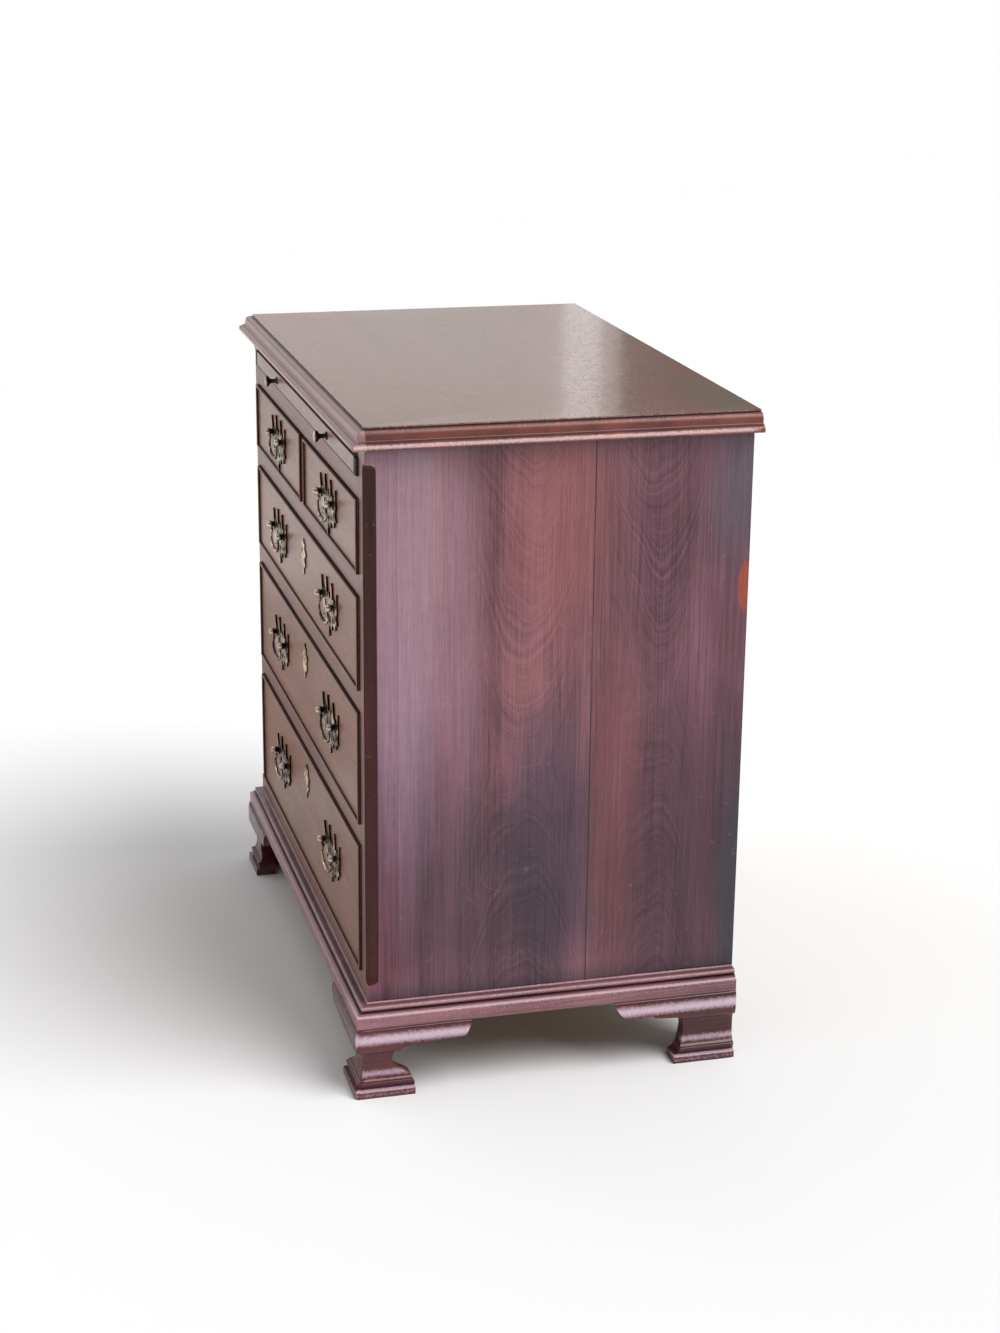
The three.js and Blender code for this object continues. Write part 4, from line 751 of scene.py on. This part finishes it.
def casting(outline, holes, thick, edge):
    """Points and faces of a flat plate with rounded edges, its back at y = 0 and its face towards -y."""
    curve = bpy.data.curves.new("casting", "CURVE")
    curve.dimensions, curve.fill_mode = "2D", "BOTH"
    curve.extrude, curve.bevel_depth, curve.bevel_resolution, curve.offset = thick / 2 - edge, edge, 1, -edge
    for line in (outline, *holes):
        spline = curve.splines.new("POLY")
        spline.points.add(len(line) - 1)
        spline.points.foreach_set("co", np.pad(line, ((0, 0), (0, 2))).ravel())
        spline.use_cyclic_u = True
    holder = bpy.data.objects.new("casting", curve)
    mesh = bpy.data.meshes.new_from_object(holder)
    points = np.empty(len(mesh.vertices) * 3)
    mesh.vertices.foreach_get("co", points)
    points = points.reshape(-1, 3)
    faces = [tuple(face.vertices) for face in mesh.polygons]
    bpy.data.objects.remove(holder)
    return np.column_stack([points[:, 0], -thick / 2 - points[:, 2], points[:, 1]]), faces


def assembled(name, shells, body, material, stands_for=(), crease=32):
    """One piece from several closed shells, each of points, faces and a place."""
    mesh = bpy.data.meshes.new(name)
    points, faces, start = [], [], 0
    for part, quads, place in shells:
        points.append(part + np.array(place))
        faces += [tuple(np.array(face) + start) for face in quads]
        start += len(part)
    mesh.from_pydata(np.concatenate(points).tolist(), [], faces)
    return finished(name, mesh, body, material, stands_for, crease)


def both_halves(points):
    """A closed outline from the points of its right half, which start and end on the middle line."""
    half = np.array(points)
    return np.concatenate([half, half[-2:0:-1] * [-1, 1]])


def pierced(x, z, width, height, lean, count=14):
    """An oval hole with one end drawn to a point, leaning by an angle."""
    turn = np.linspace(0, 2 * np.pi, count, endpoint=False)
    oval = np.column_stack([width * np.sin(turn) * (1 + 0.35 * np.cos(turn)), height * np.cos(turn)])
    return oval @ np.array([[np.cos(lean), np.sin(lean)], [-np.sin(lean), np.cos(lean)]]) + [x, z]


plate_half = np.array([
    (0, -1), (0.06, -0.90), (0.04, -0.80), (0.11, -0.71), (0.08, -0.62), (0.18, -0.56), (0.34, -0.66), (0.44, -0.46),
    (0.60, -0.42), (0.76, -0.52), (0.84, -0.30), (1, -0.26), (0.92, -0.02), (1, 0.22), (0.96, 0.50), (0.97, 0.84),
    (0.88, 0.55), (0.78, 0.33), (0.68, 0.36), (0.58, 0.52), (0.45, 0.44), (0.40, 0.70), (0.33, 1), (0.27, 0.70),
    (0.20, 0.46), (0.10, 0.40), (0, 0.56)]) * [0.048, 0.035]
plate_holes = [pierced(side * x, z, w, h, side * lean) for side in (-1, 1) for x, z, w, h, lean in (
    (0.0160, 0.0015, 0.0030, 0.0062, 0.5), (0.0105, -0.0128, 0.0022, 0.0042, -0.5), (0.0250, -0.0085, 0.0020, 0.0040, 1.0),
    (0.0425, -0.0010, 0.0016, 0.0034, 0.2), (0.0050, 0.0040, 0.0016, 0.0045, 0.0))]
plate_points, plate_faces = casting(through(both_halves(plate_half), 4), plate_holes, 0.0024, 0.0005)
post_profile = np.concatenate([
    [(0.0, -0.0238)], arc((0.0060, -0.0238), (0.0065, -0.0238), (0.0065, -0.0232), 3), [(0.0065, -0.0209), (0.0060, -0.0203)],
    [(0.0024, -0.0203), (0.0024, 0.0020), (0.0066, 0.0021)], arc((0.0070, 0.0024), (0.0070, 0.0038), (0.0052, 0.0040), 5),
    arc((0.0050, 0.0042), (0.0036, 0.0043), (0.0036, 0.0049), 4),
    np.column_stack([0.0048 * np.sin(np.linspace(2.3, 0.05, 15)), 0.0086 + 0.0048 * np.cos(np.linspace(2.3, 0.05, 15))]),
    [(0.0, 0.0134)]])
bail_line = through([(0.0305, 0.0), (0.0272, -0.0002), (0.0236, -0.0020), (0.0222, -0.0052), (0.0250, -0.0096), (0.0263, -0.0135),
                     (0.0240, -0.0190), (0.0175, -0.0230), (0.0095, -0.0252), (0.0, -0.0260)], 6, closed=False)
bail_line = np.concatenate([bail_line, bail_line[-2::-1] * [-1, 1]])
along = np.concatenate([[0], np.cumsum(np.hypot(*np.diff(bail_line, axis=0).T))])
along = along / along[-1]
bail_radius = 0.0014 + 0.0010 * np.exp(-((along - 0.5) / 0.20) ** 2) + 0.0005 * np.exp(-((along - 0.5) ** 2 - 0.168) ** 2 / 0.0005)
heading = np.gradient(bail_line, axis=0)
heading /= np.hypot(*heading.T)[:, None]
round_about = np.linspace(0, 2 * np.pi, 14, endpoint=False)
bail_grid = np.stack([
    bail_line[:, :1] - heading[:, 1:] * bail_radius[:, None] * np.cos(round_about),
    bail_radius[:, None] * np.sin(round_about),
    bail_line[:, 1:] + heading[:, :1] * bail_radius[:, None] * np.cos(round_about)], -1)
handle_levels = {"short_drawer": 0.66375, "long_drawer_1": 0.5385, "long_drawer_2": 0.38975, "long_drawer_3": 0.221}
for name, piece in list(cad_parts.items()):
    if "backplate" not in name:
        continue
    drawer = name[:name.index("_backplate")]
    x = -0.168 if name.endswith("left") or drawer.endswith("left") else 0.168
    z = next(level for start, level in handle_levels.items() if drawer.startswith(start))
    post_points, post_faces = shell(turned(post_profile, (0, 0, 0)), caps=False)
    assembled(f"{drawer}_pierced_plate_{'left' if x < 0 else 'right'}",
              [(plate_points, plate_faces, (x, -0.21925, z))] +
              [(post_points, post_faces, (x + side * 0.034, -0.21925, z + 0.010)) for side in (-1, 1)],
              drawer, dark_brass, (name,), crease=40)
    bail_name = name.replace("backplate", "bail")
    closed_piece(f"{drawer}_swan_neck_bail_{'left' if x < 0 else 'right'}", bail_grid + [x, -0.22785, z + 0.010],
                 bail_name, bail_brass, (bail_name,))

# Locks: iron-bolted brass boxes let into the backs of the long drawers' fronts, with a pierced
# escutcheon on the face.
escutcheon_half = np.array([
    (0, -1), (0.16, -0.88), (0.12, -0.76), (0.26, -0.66), (0.22, -0.58), (0.62, -0.54), (0.80, -0.28), (0.60, -0.06), (1, 0.14),
    (0.78, 0.40), (0.44, 0.46), (0.56, 0.80), (0.30, 0.70), (0.16, 0.80), (0, 1)]) * [0.015, 0.023]
turn = np.linspace(0.45, 2 * np.pi - 0.45, 12)
keyhole = np.concatenate([np.column_stack([-0.0021 * np.sin(turn), 0.0022 - 0.0021 * np.cos(turn)]), [(0.0009, -0.0055), (-0.0009, -0.0055)]])
escutcheon_holes = [keyhole] + [pierced(side * x, z, w, h, side * lean) for side in (-1, 1) for x, z, w, h, lean in (
    (0.0072, 0.0060, 0.0014, 0.0030, 0.4), (0.0066, -0.0052, 0.0013, 0.0030, -0.3), (0.0100, 0.0010, 0.0010, 0.0018, 0.2))]
escutcheon_holes += [pierced(0.0, 0.0105, 0.0016, 0.0030, 0.0), pierced(0.0, -0.0125, 0.0011, 0.0028, 0.0)]
escutcheon_points, escutcheon_faces = casting(through(both_halves(escutcheon_half), 4), escutcheon_holes, 0.0017, 0.0004)
lock_iron = old_brass("lock_iron", (0.10, 0.095, 0.09), (0.30, 0.29, 0.28), 0.45)
for number, level in ((1, 0.5575), (2, 0.4205), (3, 0.258)):
    name = f"long_drawer_{number}_lock"
    case = bmesh.new()
    case.from_mesh(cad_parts[name].data)
    bmesh.ops.remove_doubles(case, verts=case.verts, dist=0.00001)
    cut = bmesh.ops.bisect_plane(case, geom=case.verts[:] + case.edges[:] + case.faces[:], plane_co=(0, -0.2188, 0),
                                 plane_no=(0, -1, 0), clear_outer=True)
    bmesh.ops.holes_fill(case, edges=[edge for edge in case.edges if edge.is_boundary])
    case.verts.index_update()
    case_points = np.array([vertex.co for vertex in case.verts])
    case_faces = [tuple(vertex.index for vertex in face.verts) for face in case.faces]
    case.free()
    assembled(f"long_drawer_{number}_pierced_escutcheon", [(case_points, case_faces, (0, 0, 0)),
              (escutcheon_points, escutcheon_faces, (0, -0.21925, level))], f"long_drawer_{number}", gilt_brass, (name,))
    dress(f"long_drawer_{number}_lock_bolt", lock_iron, 0.0002)
